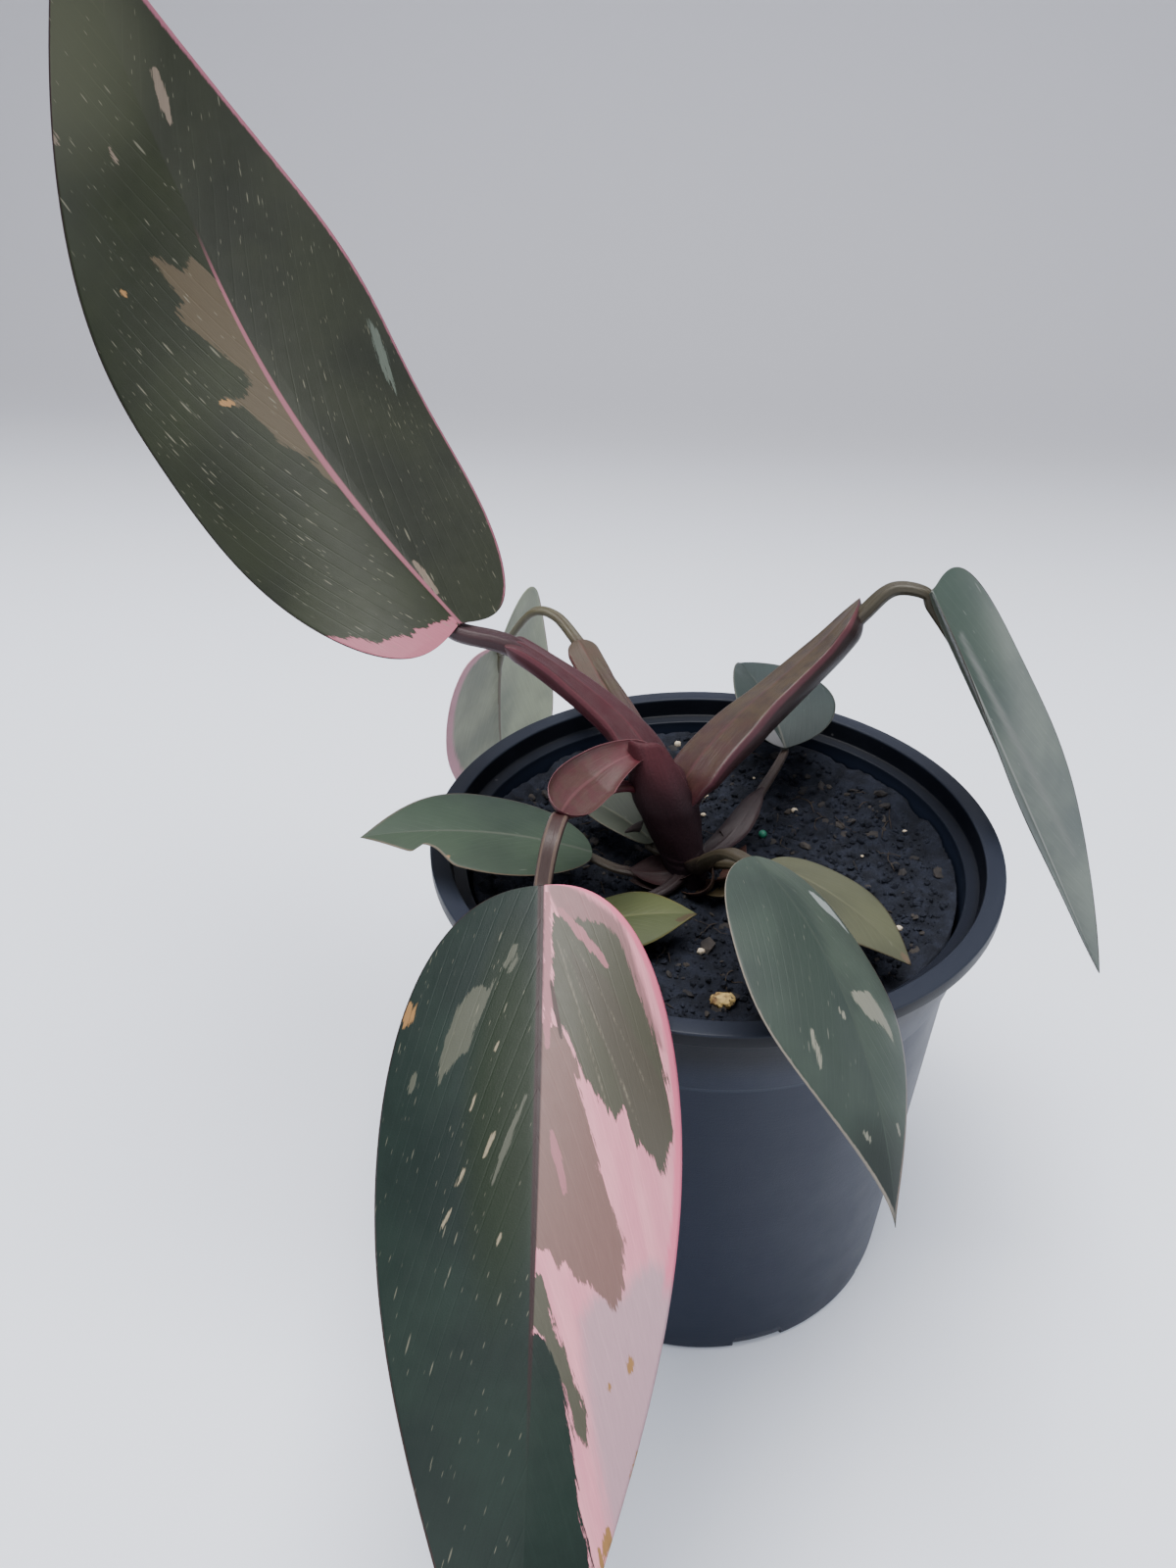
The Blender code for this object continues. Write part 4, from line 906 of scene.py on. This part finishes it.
def build_leaves():
    for name, leaf in LEAVES.items():
        look = LOOKS[name]
        blade_slot, stalk_slot = SLOTS[name]
        blade = build_blade(name, leaf, look)
        dress(blade, leaf_material(name, leaf, look), blade_slot, "blade_" + name)
        stalk = STALKS[name]
        core, route, marks = build_stalk(name, stalk, leaf)
        dress(core, stalk_material(name, stalk, False), stalk_slot, "stalk_" + name)
        if "sheath" in stalk:
            dress(build_sheath(name, route, marks, stalk), stalk_material(name, stalk, True), stalk_slot)
    for k, (points, width, color) in enumerate(SCALES):
        scale = dict(route=points, sheath=[width * 0.8, width, width * 0.9, 0], end=1.95, closing=1.3,
                     point=0.9, lift=0.6, hollow=0.3, rim=0.5, depth=0.4, root=color, face=color,
                     flank=tuple(0.7 * c for c in color), edge=tuple(1.5 * c for c in color))
        route = smooth_route([np.array(p) * MM for p in points], STALK_STEPS)
        marks = np.linspace(0, len(points) - 1, len(route))
        scale_name = "scale_%d" % k
        dress(build_sheath(scale_name, route, marks, scale), stalk_material(scale_name, scale, True), "stem")


def stem_radius(share):
    """Radius of the stem above ground: narrow at the soil, swollen where the stalks leave, domed on top."""
    rise = min(share / 0.7, 1.0)
    swell = STEM_RADIUS + (STEM_SWELL - STEM_RADIUS) * rise ** 1.6
    fall = max(0.0, (share - 0.7) / 0.3)
    return swell * math.sqrt(max(0.0, 1 - fall ** 2.4))


def build_stem():
    """The stem with its leaf scars and the soft folds of the sheaths that wrap it."""
    segments, levels = 72, 70
    points, facts = [], []
    for k in range(levels + 1):
        share = -0.12 + 1.12 * k / levels
        centre = STEM_GROUND.lerp(STEM_TOP, max(share, 0.0))
        centre.z += min(share, 0.0) * 30 * MM
        radius = max(stem_radius(max(share, 0.0)), 0.4 * MM)
        for n in range(segments):
            angle = 2 * math.pi * n / segments
            scar = sum(math.exp(-((share - level - 0.02 * math.sin(angle * 2 + 5 * level)) / 0.018) ** 2)
                       for level in (0.06, 0.15, 0.23, 0.3))
            fold = math.sin(angle * 3 + share * 7) * 0.02 * min(1.0, max(share, 0) * 4)
            r = radius * (1 + 0.045 * scar + fold)
            points.append(centre + Vector((r * math.cos(angle), r * math.sin(angle), 0)))
            facts.append((share, angle, radius / MM))
    faces = [tuple(reversed(range(segments)))]
    for k in range(levels):
        for n in range(segments):
            a, b = k * segments + n, k * segments + (n + 1) % segments
            faces.append((a, b, b + segments, a + segments))
    faces.append(tuple(range(levels * segments, (levels + 1) * segments)))
    made = link_mesh("stem_fine", points, faces)
    store(made, "stem", facts)
    g = Graph("stem")
    share, angle, _ = g.split(g.attribute("stem").outputs["Vector"])
    place = g.place()
    cloud = g.noise(place, 0.25, 4.0)
    color = g.mix(g.ramp(g.math("MULTIPLY_ADD", cloud, 0.4, share), 0.15, 0.75), tone(34, 25, 30), tone(36, 20, 25))
    color = g.mix(g.ramp(share, 0.72, 1.15), color, tone(66, 30, 36))
    lines = g.noise(g.join(g.math("MULTIPLY", angle, 6.0), g.math("MULTIPLY", share, 3.0)), 1.5, 4.0)
    color = g.tint(0.6, color, g.mix(lines, (0.6, 0.6, 0.6), (1.4, 1.35, 1.35)))
    g.bump(g.math("ADD", lines, g.noise(place, 1.6, 3.0)), 0.25 * MM, 0.5)
    skin = g.finish(color, 0.6, specular_ior_level=0.2)
    dress(made, skin, "stem", "stem")
    dress(build_flap(), skin, "stem")
    rings = []
    for k in range(14):
        t = k / 13
        centre = np.array((-17.5 - 4.0 * t, -6.5 - 0.8 * t, 137.5 - 1.6 * t * t)) * MM
        reach = (1.5 - 0.9 * t) * MM * math.sqrt(max(1 - t ** 6, 0.02))
        angle = 2 * math.pi * np.arange(STALK_SIDES) / STALK_SIDES
        rings.append(centre + np.stack([0.3 * reach * np.sin(angle), reach * np.cos(angle), reach * np.sin(angle)], -1))
    nub = loft("root_nub", rings)
    dress(nub, bark_material("root nub", tone(19, 11, 12), tone(38, 25, 24)), "stem")


def build_flap():
    """The outermost sheath round the top of the stem, with its rounded ear on the side of the camera."""
    segments, levels = 120, 30
    points, facts = [], []
    for k in range(2 * levels):
        inner = k >= levels
        t = k / (levels - 1) if not inner else (2 * levels - 1 - k) / (levels - 1)
        for n in range(segments):
            angle = 2 * math.pi * n / segments
            turn = (angle - math.radians(265) + math.pi) % (2 * math.pi) - math.pi
            ear = math.exp(-(turn / 1.25) ** 6)
            top = (144.5 + 17.5 * ear) * MM
            low = 130 * MM
            z = low + (top - low) * t
            share = min(max((z - STEM_GROUND.z) / (STEM_TOP.z - STEM_GROUND.z), 0.0), 1.25)
            centre = STEM_GROUND.lerp(STEM_TOP, share)
            radius = stem_radius(min(share, 0.7)) + 0.45 * MM * min(1, 5 * t)
            radius -= 2.4 * MM * ear * max(0.0, t - 0.5) ** 2 / 0.25
            if inner:
                radius -= (0.55 + 0.5 * (1 - t)) * MM
            radius += 0.25 * MM * math.sin(turn * 5 + 9 * t) * t
            points.append((centre.x + radius * math.cos(angle), centre.y + radius * math.sin(angle), z))
            facts.append((share, angle, 0.0))
    faces = []
    count = 2 * levels
    for k in range(count):
        for n in range(segments):
            m = (n + 1) % segments
            a, b = k * segments, (k + 1) % count * segments
            faces.append((a + n, a + m, b + m, b + n))
    made = link_mesh("stem_flap", points, faces)
    bmesh_outward(made)
    store(made, "stem", facts)
    return made


def lathe(profile, segments):
    """Turn a closed profile of (radius, height) about Z; points on the axis become single points."""
    points, rings, faces = [], [], []
    for radius, height in profile:
        if radius < 1e-6:
            rings.append([len(points)] * segments)
            points.append((0, 0, height))
            continue
        rings.append(list(range(len(points), len(points) + segments)))
        for k in range(segments):
            angle = 2 * math.pi * k / segments
            points.append((radius * math.cos(angle), radius * math.sin(angle), height))
    for low, high in zip(rings, rings[1:]):
        for k in range(segments):
            n = (k + 1) % segments
            corners = [low[k], low[n], high[n], high[k]]
            face = [c for i, c in enumerate(corners) if c not in corners[:i]]
            if len(face) > 2:
                faces.append(face)
    return points, faces


def rounded(profile, cut=0.45 * MM):
    """Round every corner of a profile with a short arc of three points."""
    smooth = [profile[0]]
    for before, corner, after in zip(profile, profile[1:], profile[2:]):
        a, b, c = (np.array(p) for p in (before, corner, after))
        reach = min(cut, np.linalg.norm(a - b) * 0.4, np.linalg.norm(c - b) * 0.4)
        start, end = b + unit(a - b) * reach, b + unit(c - b) * reach
        for t in (0.0, 0.33, 0.67, 1.0):
            smooth.append(tuple((1 - t) ** 2 * start + 2 * t * (1 - t) * b + t * t * end))
    smooth.append(profile[-1])
    return smooth


def build_pot():
    """The pot with rounded edges, a faint painted highlight line under the collar and its drain slots."""
    collar_z = POT_HEIGHT - COLLAR_HEIGHT
    lip_z = POT_HEIGHT - LIP_HEIGHT
    ledge_z = POT_HEIGHT - LEDGE_DROP

    def body_point(height):
        return BASE_RADIUS + (BODY_TOP_RADIUS - BASE_RADIUS) * height / collar_z, height

    profile = [
        (0, 0), (BASE_RADIUS - 1.2 * MM, 0), (BASE_RADIUS, 1.2 * MM), body_point(6 * MM), body_point(30 * MM),
        (BODY_TOP_RADIUS, collar_z - 0.4 * MM), (COLLAR_BOTTOM_RADIUS, collar_z),
        (COLLAR_TOP_RADIUS, lip_z), (RIM_RADIUS, lip_z), (RIM_RADIUS, POT_HEIGHT),
        (RIM_INNER_RADIUS, POT_HEIGHT), (RIM_INNER_RADIUS - 0.8 * MM, ledge_z),
        (LEDGE_RADIUS, ledge_z - 0.4 * MM), (COLLAR_BOTTOM_RADIUS - WALL - 0.6 * MM, collar_z),
        (BODY_TOP_RADIUS - WALL, collar_z - 1.5 * MM), (BASE_RADIUS - WALL, FLOOR), (0, FLOOR),
    ]
    points, faces = lathe(rounded(profile), 224)
    pot = link_mesh("nursery_pot", points, faces)
    pot.data.set_sharp_from_angle(angle=math.radians(50))
    for k in range(DRAIN_SLOTS):
        angle = 2 * math.pi * (k + 0.5) / DRAIN_SLOTS
        reach = BASE_RADIUS + 1.5 * MM - DRAIN_SIZE[0] / 2
        centre = (reach * math.cos(angle), reach * math.sin(angle), DRAIN_SIZE[2] / 2 - 0.5 * MM)
        shape = bmesh.new()
        place = Matrix.Translation(centre) @ Matrix.Rotation(angle, 4, "Z")
        bmesh.ops.create_cube(shape, size=1.0, matrix=place @ Matrix.Diagonal((*DRAIN_SIZE, 1.0)))
        mesh = bpy.data.meshes.new("drain")
        shape.to_mesh(mesh)
        shape.free()
        cutter = bpy.data.objects.new("drain_%d" % k, mesh)
        bpy.context.scene.collection.objects.link(cutter)
        cut = pot.modifiers.new("Drain", "BOOLEAN")
        cut.operation = "DIFFERENCE"
        cut.object = cutter
        apply_modifiers(pot)
        bpy.data.objects.remove(cutter)
    return dress(pot, pot_material(), "pot", "pot")


def apply_modifiers(made):
    """Replace a mesh by what its modifiers make of it."""
    evaluated = made.evaluated_get(bpy.context.evaluated_depsgraph_get())
    mesh = bpy.data.meshes.new_from_object(evaluated)
    made.modifiers.clear()
    made.data = mesh


def pot_material():
    """Moulded plastic: near black, satin, with a fine grain, thin rubbed lines and a little dust; painted highlights on
    the rim and under the collar, and painted light on the shaded inner wall.
    """
    g = Graph("pot plastic")
    place = g.place()
    x, y, z = g.split(place)
    dust = g.noise(place, 0.09, 5.0, 0.65)
    color = g.mix(g.ramp(dust, 0.45, 0.75, 0.0, 0.35), tone(7, 9, 16), tone(14, 17, 25))
    scuffs = g.noise(g.join(g.math("MULTIPLY", x, 0.05), g.math("MULTIPLY", y, 0.05), z), 1.1, 4.0, 0.7)
    color = g.mix(g.ramp(scuffs, 0.62, 0.78, 0.0, 0.1), color, tone(46, 51, 59))
    specks, chance = g.cells(place, 0.22)
    speck = g.math("MULTIPLY", g.ramp(specks, 0.12, 0.05), g.ramp(chance, 0.86, 0.87))
    color = g.mix(g.math("MULTIPLY", speck, 0.5), color, tone(82, 82, 84))
    # Painted light: the shaded inner wall above the soil is painted a lighter navy than the plastic.
    inside = g.ramp(g.math("SQRT", g.math("ADD", g.math("MULTIPLY", x, x), g.math("MULTIPLY", y, y))), 65.0, 63.0)
    low = g.ramp(z, 130.0, 124.0)
    color = g.mix(g.math("MULTIPLY", inside, low), color, tone(26, 32, 46))
    # Painted highlight: a thin lighter band just under the collar's lower edge.
    collar_highlight = g.math("MULTIPLY", g.ramp(z, 107.0, 107.6), g.ramp(z, 109.4, 108.9))
    color = g.mix(g.math("MULTIPLY", collar_highlight, 0.35), color, tone(60, 68, 78))
    # Painted highlight: the top of the rim is painted lighter.
    color = g.mix(g.ramp(z, 132.3, 132.8, 0.0, 0.8), color, tone(40, 44, 55))
    g.bump(g.math("MULTIPLY_ADD", scuffs, 0.6, g.noise(place, 2.6, 3.0)), 0.05 * MM, 0.6)
    rough = g.math("MULTIPLY_ADD", dust, 0.16, 0.34)
    return g.finish(color, rough, specular_ior_level=0.15)


def soil_height(x, y):
    """Top of the packed soil solid, in metres."""
    lumps = math.sin(x * 160 + 0.7) * math.cos(y * 190 - 0.4) + 0.6 * math.sin(x * 330 - y * 270 + 1.1)
    return SOIL_LEVEL + (x * 0.5 + y) * 0.012 + 0.7 * MM * lumps


def soil_relief(x, y):
    """Finer lumps on the soil, in metres."""
    spot = Vector((x, y, 0.0)) / MM
    broad = noise.noise(spot * 0.11) * 1.1
    clods = 0.45 - noise.voronoi(spot * 0.24 + Vector((5, 1, 2)))[0][0]
    lumps = 0.45 - noise.voronoi(spot * 0.6 + Vector((7, 3, 1)))[0][0]
    fine = noise.noise(spot * 1.3 + Vector((2, 9, 4))) * 0.3
    return (broad + 1.9 * clods + 0.9 * lumps + fine) * MM


def build_soil(rng):
    """The root ball with a lumpy top, and on it crumbs, bark chips and fibres."""
    segments, rings = 400, 130
    bottom = FLOOR + GAP
    collar_z = POT_HEIGHT - COLLAR_HEIGHT
    lowest = BASE_RADIUS - DRAIN_SIZE[0] - GAP
    inner_base = BASE_RADIUS - WALL - GAP
    points = [(0, 0, bottom)]
    sides = [(lowest, bottom), (lowest, DRAIN_SIZE[2]), (inner_base, DRAIN_SIZE[2] + GAP),
             (SOIL_RADIUS, collar_z - 2 * MM)]
    angles = [2 * math.pi * k / segments for k in range(segments)]
    for radius, height in sides:
        points += [(radius * math.cos(a), radius * math.sin(a), height) for a in angles]
    for ring in range(rings, 0, -1):
        radius = SOIL_RADIUS * ring / rings
        for a in angles:
            x, y = radius * math.cos(a), radius * math.sin(a)
            bank = 1.4 * MM * max(0.0, ring / rings - 0.93) / 0.07
            points.append((x, y, min(soil_height(x, y) + soil_relief(x, y) + bank, SOIL_LEVEL + 2.6 * MM)))
    points.append((0, 0, soil_height(0, 0)))
    faces = []
    levels = len(sides) + rings
    for k in range(segments):
        n = (k + 1) % segments
        faces.append((0, 1 + n, 1 + k))
        for level in range(levels - 1):
            a = 1 + level * segments
            faces.append((a + k, a + n, a + segments + n, a + segments + k))
        top = 1 + (levels - 1) * segments
        faces.append((top + k, top + n, len(points) - 1))
    soil = link_mesh("soil_body", points, faces)
    dress(soil, soil_material(), "soil", "soil")
    crumbs = scatter_crumbs("soil_crumbs", rng, 3800, (0.5, 2.4), (0.4, 1.1), 0.62)
    dress(crumbs, soil_material("soil crumbs"), "soil")
    chips = scatter_crumbs("soil_bark", rng, 260, (1.2, 4.6), (0.2, 0.5), 0.55)
    dress(chips, bark_material(), "soil")
    dress(scatter_fibres(rng, 120), bark_material("soil fibres", tone(28, 23, 20), tone(62, 50, 40)), "soil")


def soil_material(name="soil"):
    """Dark moist potting mix."""
    g = Graph(name)
    place = g.place()
    patches = g.noise(place, 0.22, 5.0, 0.6)
    color = g.mix(g.ramp(patches, 0.35, 0.7), tone(12, 16, 27), tone(28, 33, 47))
    color = g.tint(0.8, color, g.mix(g.noise(place, 1.5, 4.0), (0.5, 0.5, 0.5), (1.5, 1.45, 1.4)))
    glint = g.ramp(g.noise(place, 2.4, 3.0), 0.68, 0.76, 0.0, 0.6)
    color = g.mix(glint, color, tone(70, 72, 79))
    g.bump(g.math("ADD", g.noise(place, 1.2, 5.0, 0.7), g.noise(place, 3.5, 3.0)), 0.5 * MM, 0.8)
    return g.finish(color, g.math("MULTIPLY_ADD", patches, -0.3, 0.95), specular_ior_level=0.3)


def bark_material(name="soil bark", dark=tone(26, 23, 25), light=tone(50, 44, 40)):
    """Bits of bark, wood and root."""
    g = Graph(name)
    place = g.place()
    color = g.mix(g.ramp(g.noise(place, 0.18, 2.0), 0.35, 0.65), dark, light)
    color = g.tint(0.7, color, g.mix(g.noise(place, 1.8, 4.0), (0.5, 0.5, 0.5), (1.5, 1.5, 1.5)))
    g.bump(g.noise(place, 2.5, 4.0), 0.2 * MM, 0.7)
    return g.finish(color, 0.85)


def soil_spot(rng, limit=0.985):
    """A random place on the soil."""
    radius = SOIL_RADIUS * limit * math.sqrt(rng.random())
    angle = rng.random() * 2 * math.pi
    return radius * math.cos(angle), radius * math.sin(angle)


def rock(rng, level):
    """Points and faces of a ball."""
    shape = bmesh.new()
    bmesh.ops.create_icosphere(shape, subdivisions=level, radius=1.0)
    points = np.array([v.co for v in shape.verts])
    faces = [[v.index for v in f.verts] for f in shape.faces]
    shape.free()
    return points, faces


def scatter_crumbs(name, rng, count, sizes, flatness, sink):
    """Many small lumps on the soil, as one piece."""
    ball, ball_faces = rock(rng, 1)
    points, faces = [], []
    for _ in range(count):
        x, y = soil_spot(rng)
        size = sizes[0] + (sizes[1] - sizes[0]) * rng.random() ** 2.2
        flat = flatness[0] + (flatness[1] - flatness[0]) * rng.random()
        shape = ball * (1 + 0.5 * (rng.random((len(ball), 1)) - 0.5))
        shape = shape * (1.0, 0.55 + 0.4 * rng.random(), flat)
        turn = Matrix.Rotation(rng.random() * 6.28, 3, "Z") @ Matrix.Rotation((rng.random() - 0.5) * 1.4, 3, "X")
        shape = shape @ np.array(turn).T * size / 2 * MM
        height = soil_height(x, y) + soil_relief(x, y) + size * flat * (0.5 - sink * 0.6) * MM
        start = len(points) * len(ball)
        points.append(shape + (x, y, height))
        faces += [[c + start for c in f] for f in ball_faces]
    return link_mesh(name, np.concatenate(points), faces, smooth=False)


def scatter_fibres(rng, count):
    """Thin root and coir fibres that lie on the soil, as one piece."""
    points, faces = [], []
    sides, steps = 4, 9
    for _ in range(count):
        x, y = soil_spot(rng, 0.93)
        heading = rng.random() * 6.28
        turn = (rng.random() - 0.5) * 0.5
        step = (0.35 + 0.75 * rng.random()) * MM
        radius = (0.06 + 0.10 * rng.random()) * MM
        arch = rng.random() * 1.2 * MM
        start = len(points)
        for k in range(steps + 1):
            heading += turn * (0.5 + rng.random())
            x += step * math.cos(heading)
            y += step * math.sin(heading)
            if math.hypot(x, y) > SOIL_RADIUS * 0.99:
                x, y = x * 0.97, y * 0.97
            thin = radius * (1.0 if 0 < k < steps else 0.4)
            height = soil_height(x, y) + soil_relief(x, y) + 0.25 * MM + arch * math.sin(math.pi * k / steps)
            for n in range(sides):
                angle = 2 * math.pi * n / sides
                points.append((x - math.sin(heading) * math.cos(angle) * thin,
                               y + math.cos(heading) * math.cos(angle) * thin, height + math.sin(angle) * thin))
        for k in range(steps):
            for n in range(sides):
                a, b = start + k * sides + n, start + k * sides + (n + 1) % sides
                faces.append((a, b, b + sides, a + sides))
        faces.append(tuple(start + n for n in reversed(range(sides))))
        faces.append(tuple(start + steps * sides + n for n in range(sides)))
    made = link_mesh("soil_fibres", points, faces)
    bmesh_outward(made)
    return made


# Single bits that show in the photograph: place in mm, size in mm, flatness
GRAINS = [((-12, 53), 2.0, 1.0), ((-3, 31), 1.8, 0.9), ((-3, 20), 1.5, 0.8), ((21, 25), 1.8, 0.9),
          ((-1, -33), 2.0, 1.0), ((45, -19), 1.8, 0.9), ((50, 22), 1.2, 0.7), ((-30, 40), 1.1, 0.7),
          ((38, 8), 0.9, 0.7), ((10, 40), 1.0, 0.7), ((-42, 10), 1.1, 0.7), ((30, -12), 0.9, 0.7)]
GOLDEN_CHIP = (4.6, -47.6)
GREEN_BEAD = (12.7, 13.8)


def build_bits(rng):
    """Pale grains, one golden bark chunk and a green feed bead on the soil."""
    points, faces = [], []
    ball, ball_faces = rock(rng, 2)
    for (x, y), size, flat in GRAINS:
        x, y = x * MM, y * MM
        shape = ball * (1 + 0.3 * (rng.random((len(ball), 1)) - 0.5)) * (1.0, 0.7, flat) * size / 2 * MM
        start = len(points) * len(ball)
        points.append(shape + (x, y, soil_height(x, y) + soil_relief(x, y) + 0.4 * MM))
        faces += [[c + start for c in f] for f in ball_faces]
    grains = link_mesh("pale_grains", np.concatenate(points), faces)
    g = Graph("pale grains")
    color = g.mix(g.noise(g.place(), 0.8, 3.0), tone(190, 170, 140), tone(212, 200, 182))
    g.bump(g.noise(g.place(), 3.0, 3.0), 0.2 * MM, 0.6)
    dress(grains, g.finish(color, 0.8), "soil")
    x, y = (v * MM for v in GOLDEN_CHIP)
    ball, ball_faces = rock(rng, 3)
    rough = np.array([1 + 0.35 * noise.noise(Vector(p) * 2.1) + 0.12 * noise.noise(Vector(p) * 6) for p in ball])
    shape = ball * rough[:, None] * (2.7, 2.2, 1.4) * MM + (x, y, soil_height(x, y) + soil_relief(x, y) + 0.9 * MM)
    chunk = link_mesh("golden_chip", shape, ball_faces)
    g = Graph("golden chip")
    place = g.place()
    color = g.mix(g.ramp(g.noise(place, 0.5, 3.0), 0.35, 0.6), tone(112, 84, 52), tone(206, 176, 112))
    color = g.mix(g.ramp(g.noise(place, 1.3, 3.0), 0.58, 0.64), color, tone(52, 40, 34))
    g.bump(g.noise(place, 1.4, 4.0), 0.4 * MM, 0.8)
    dress(chunk, g.finish(color, 0.7), "soil")
    x, y = (v * MM for v in GREEN_BEAD)
    ball, ball_faces = rock(rng, 3)
    bead = link_mesh("green_bead", ball * 1.1 * MM + (x, y, soil_height(x, y) + soil_relief(x, y) + 0.7 * MM),
                     ball_faces)
    g = Graph("green bead")
    color = g.mix(g.noise(g.place(), 0.9, 2.0), tone(24, 92, 74), tone(40, 128, 100))
    dress(bead, g.finish(color, 0.4), "soil")


def build_stage():
    """Pale floor that curves up into a backdrop, and soft studio lights."""
    half, reach_front, start, radius, top = 2.4, -1.8, 0.7, 0.35, 2.4
    line = [(reach_front, 0.0), (start, 0.0)]
    line += [(start + radius * math.sin(t), radius * (1 - math.cos(t))) for t in np.linspace(0.1, math.pi / 2, 14)]
    line.append((start + radius, top))
    points = [(x, y, z) for y, z in line for x in (-half, half)]
    faces = [(2 * k, 2 * k + 1, 2 * k + 3, 2 * k + 2) for k in range(len(line) - 1)]
    floor = link_mesh("floor", points, faces)
    g = Graph("floor")
    _, depth, _ = g.split(g.place())
    # Painted shade: the paper is painted darker towards the back and up the backdrop.
    paint = g.mix(g.ramp(depth, 250.0, 800.0), tone(240, 244, 255), tone(166, 166, 173))
    floor.data.materials.append(g.finish(paint, 0.8, specular_ior_level=0.2))
    world = bpy.data.worlds.new("studio")
    bpy.context.scene.world = world
    world.use_nodes = True
    background = world.node_tree.nodes["Background"]
    background.inputs["Color"].default_value = (0.80, 0.88, 1.0, 1.0)
    background.inputs["Strength"].default_value = 0.4
    for name, place, target, size, power, color in (
            ("key", (-0.1, 0.0, 1.6), (0, 0, 0.1), 1.1, 46, (1.0, 0.99, 0.975)),
            ("front", (-0.7, -1.5, 0.75), (0, -0.05, 0.15), 0.8, 11, (0.96, 0.97, 1.0)),
            ("side", (1.3, -0.1, 0.7), (0, 0, 0.1), 0.8, 6, (0.92, 0.95, 1.0))):
        data = bpy.data.lights.new(name, "AREA")
        data.size = size
        data.energy = power
        data.color = color
        lamp = bpy.data.objects.new(name, data)
        bpy.context.scene.collection.objects.link(lamp)
        lamp.location = place
        lamp.rotation_euler = (Vector(target) - Vector(place)).to_track_quat("-Z", "Y").to_euler()


def build_camera():
    data = bpy.data.cameras.new("camera")
    data.sensor_width = 36
    data.lens = CAMERA_LENS
    data.clip_start = 0.01
    camera = bpy.data.objects.new("camera", data)
    bpy.context.scene.collection.objects.link(camera)
    camera.location = CAMERA_PLACE
    camera.rotation_euler = [math.radians(a) for a in CAMERA_TURN]
    bpy.context.scene.camera = camera


build_camera()
build_stage()
random = np.random.default_rng(7)
build_pot()
build_soil(random)
build_bits(random)
build_stem()
build_leaves()
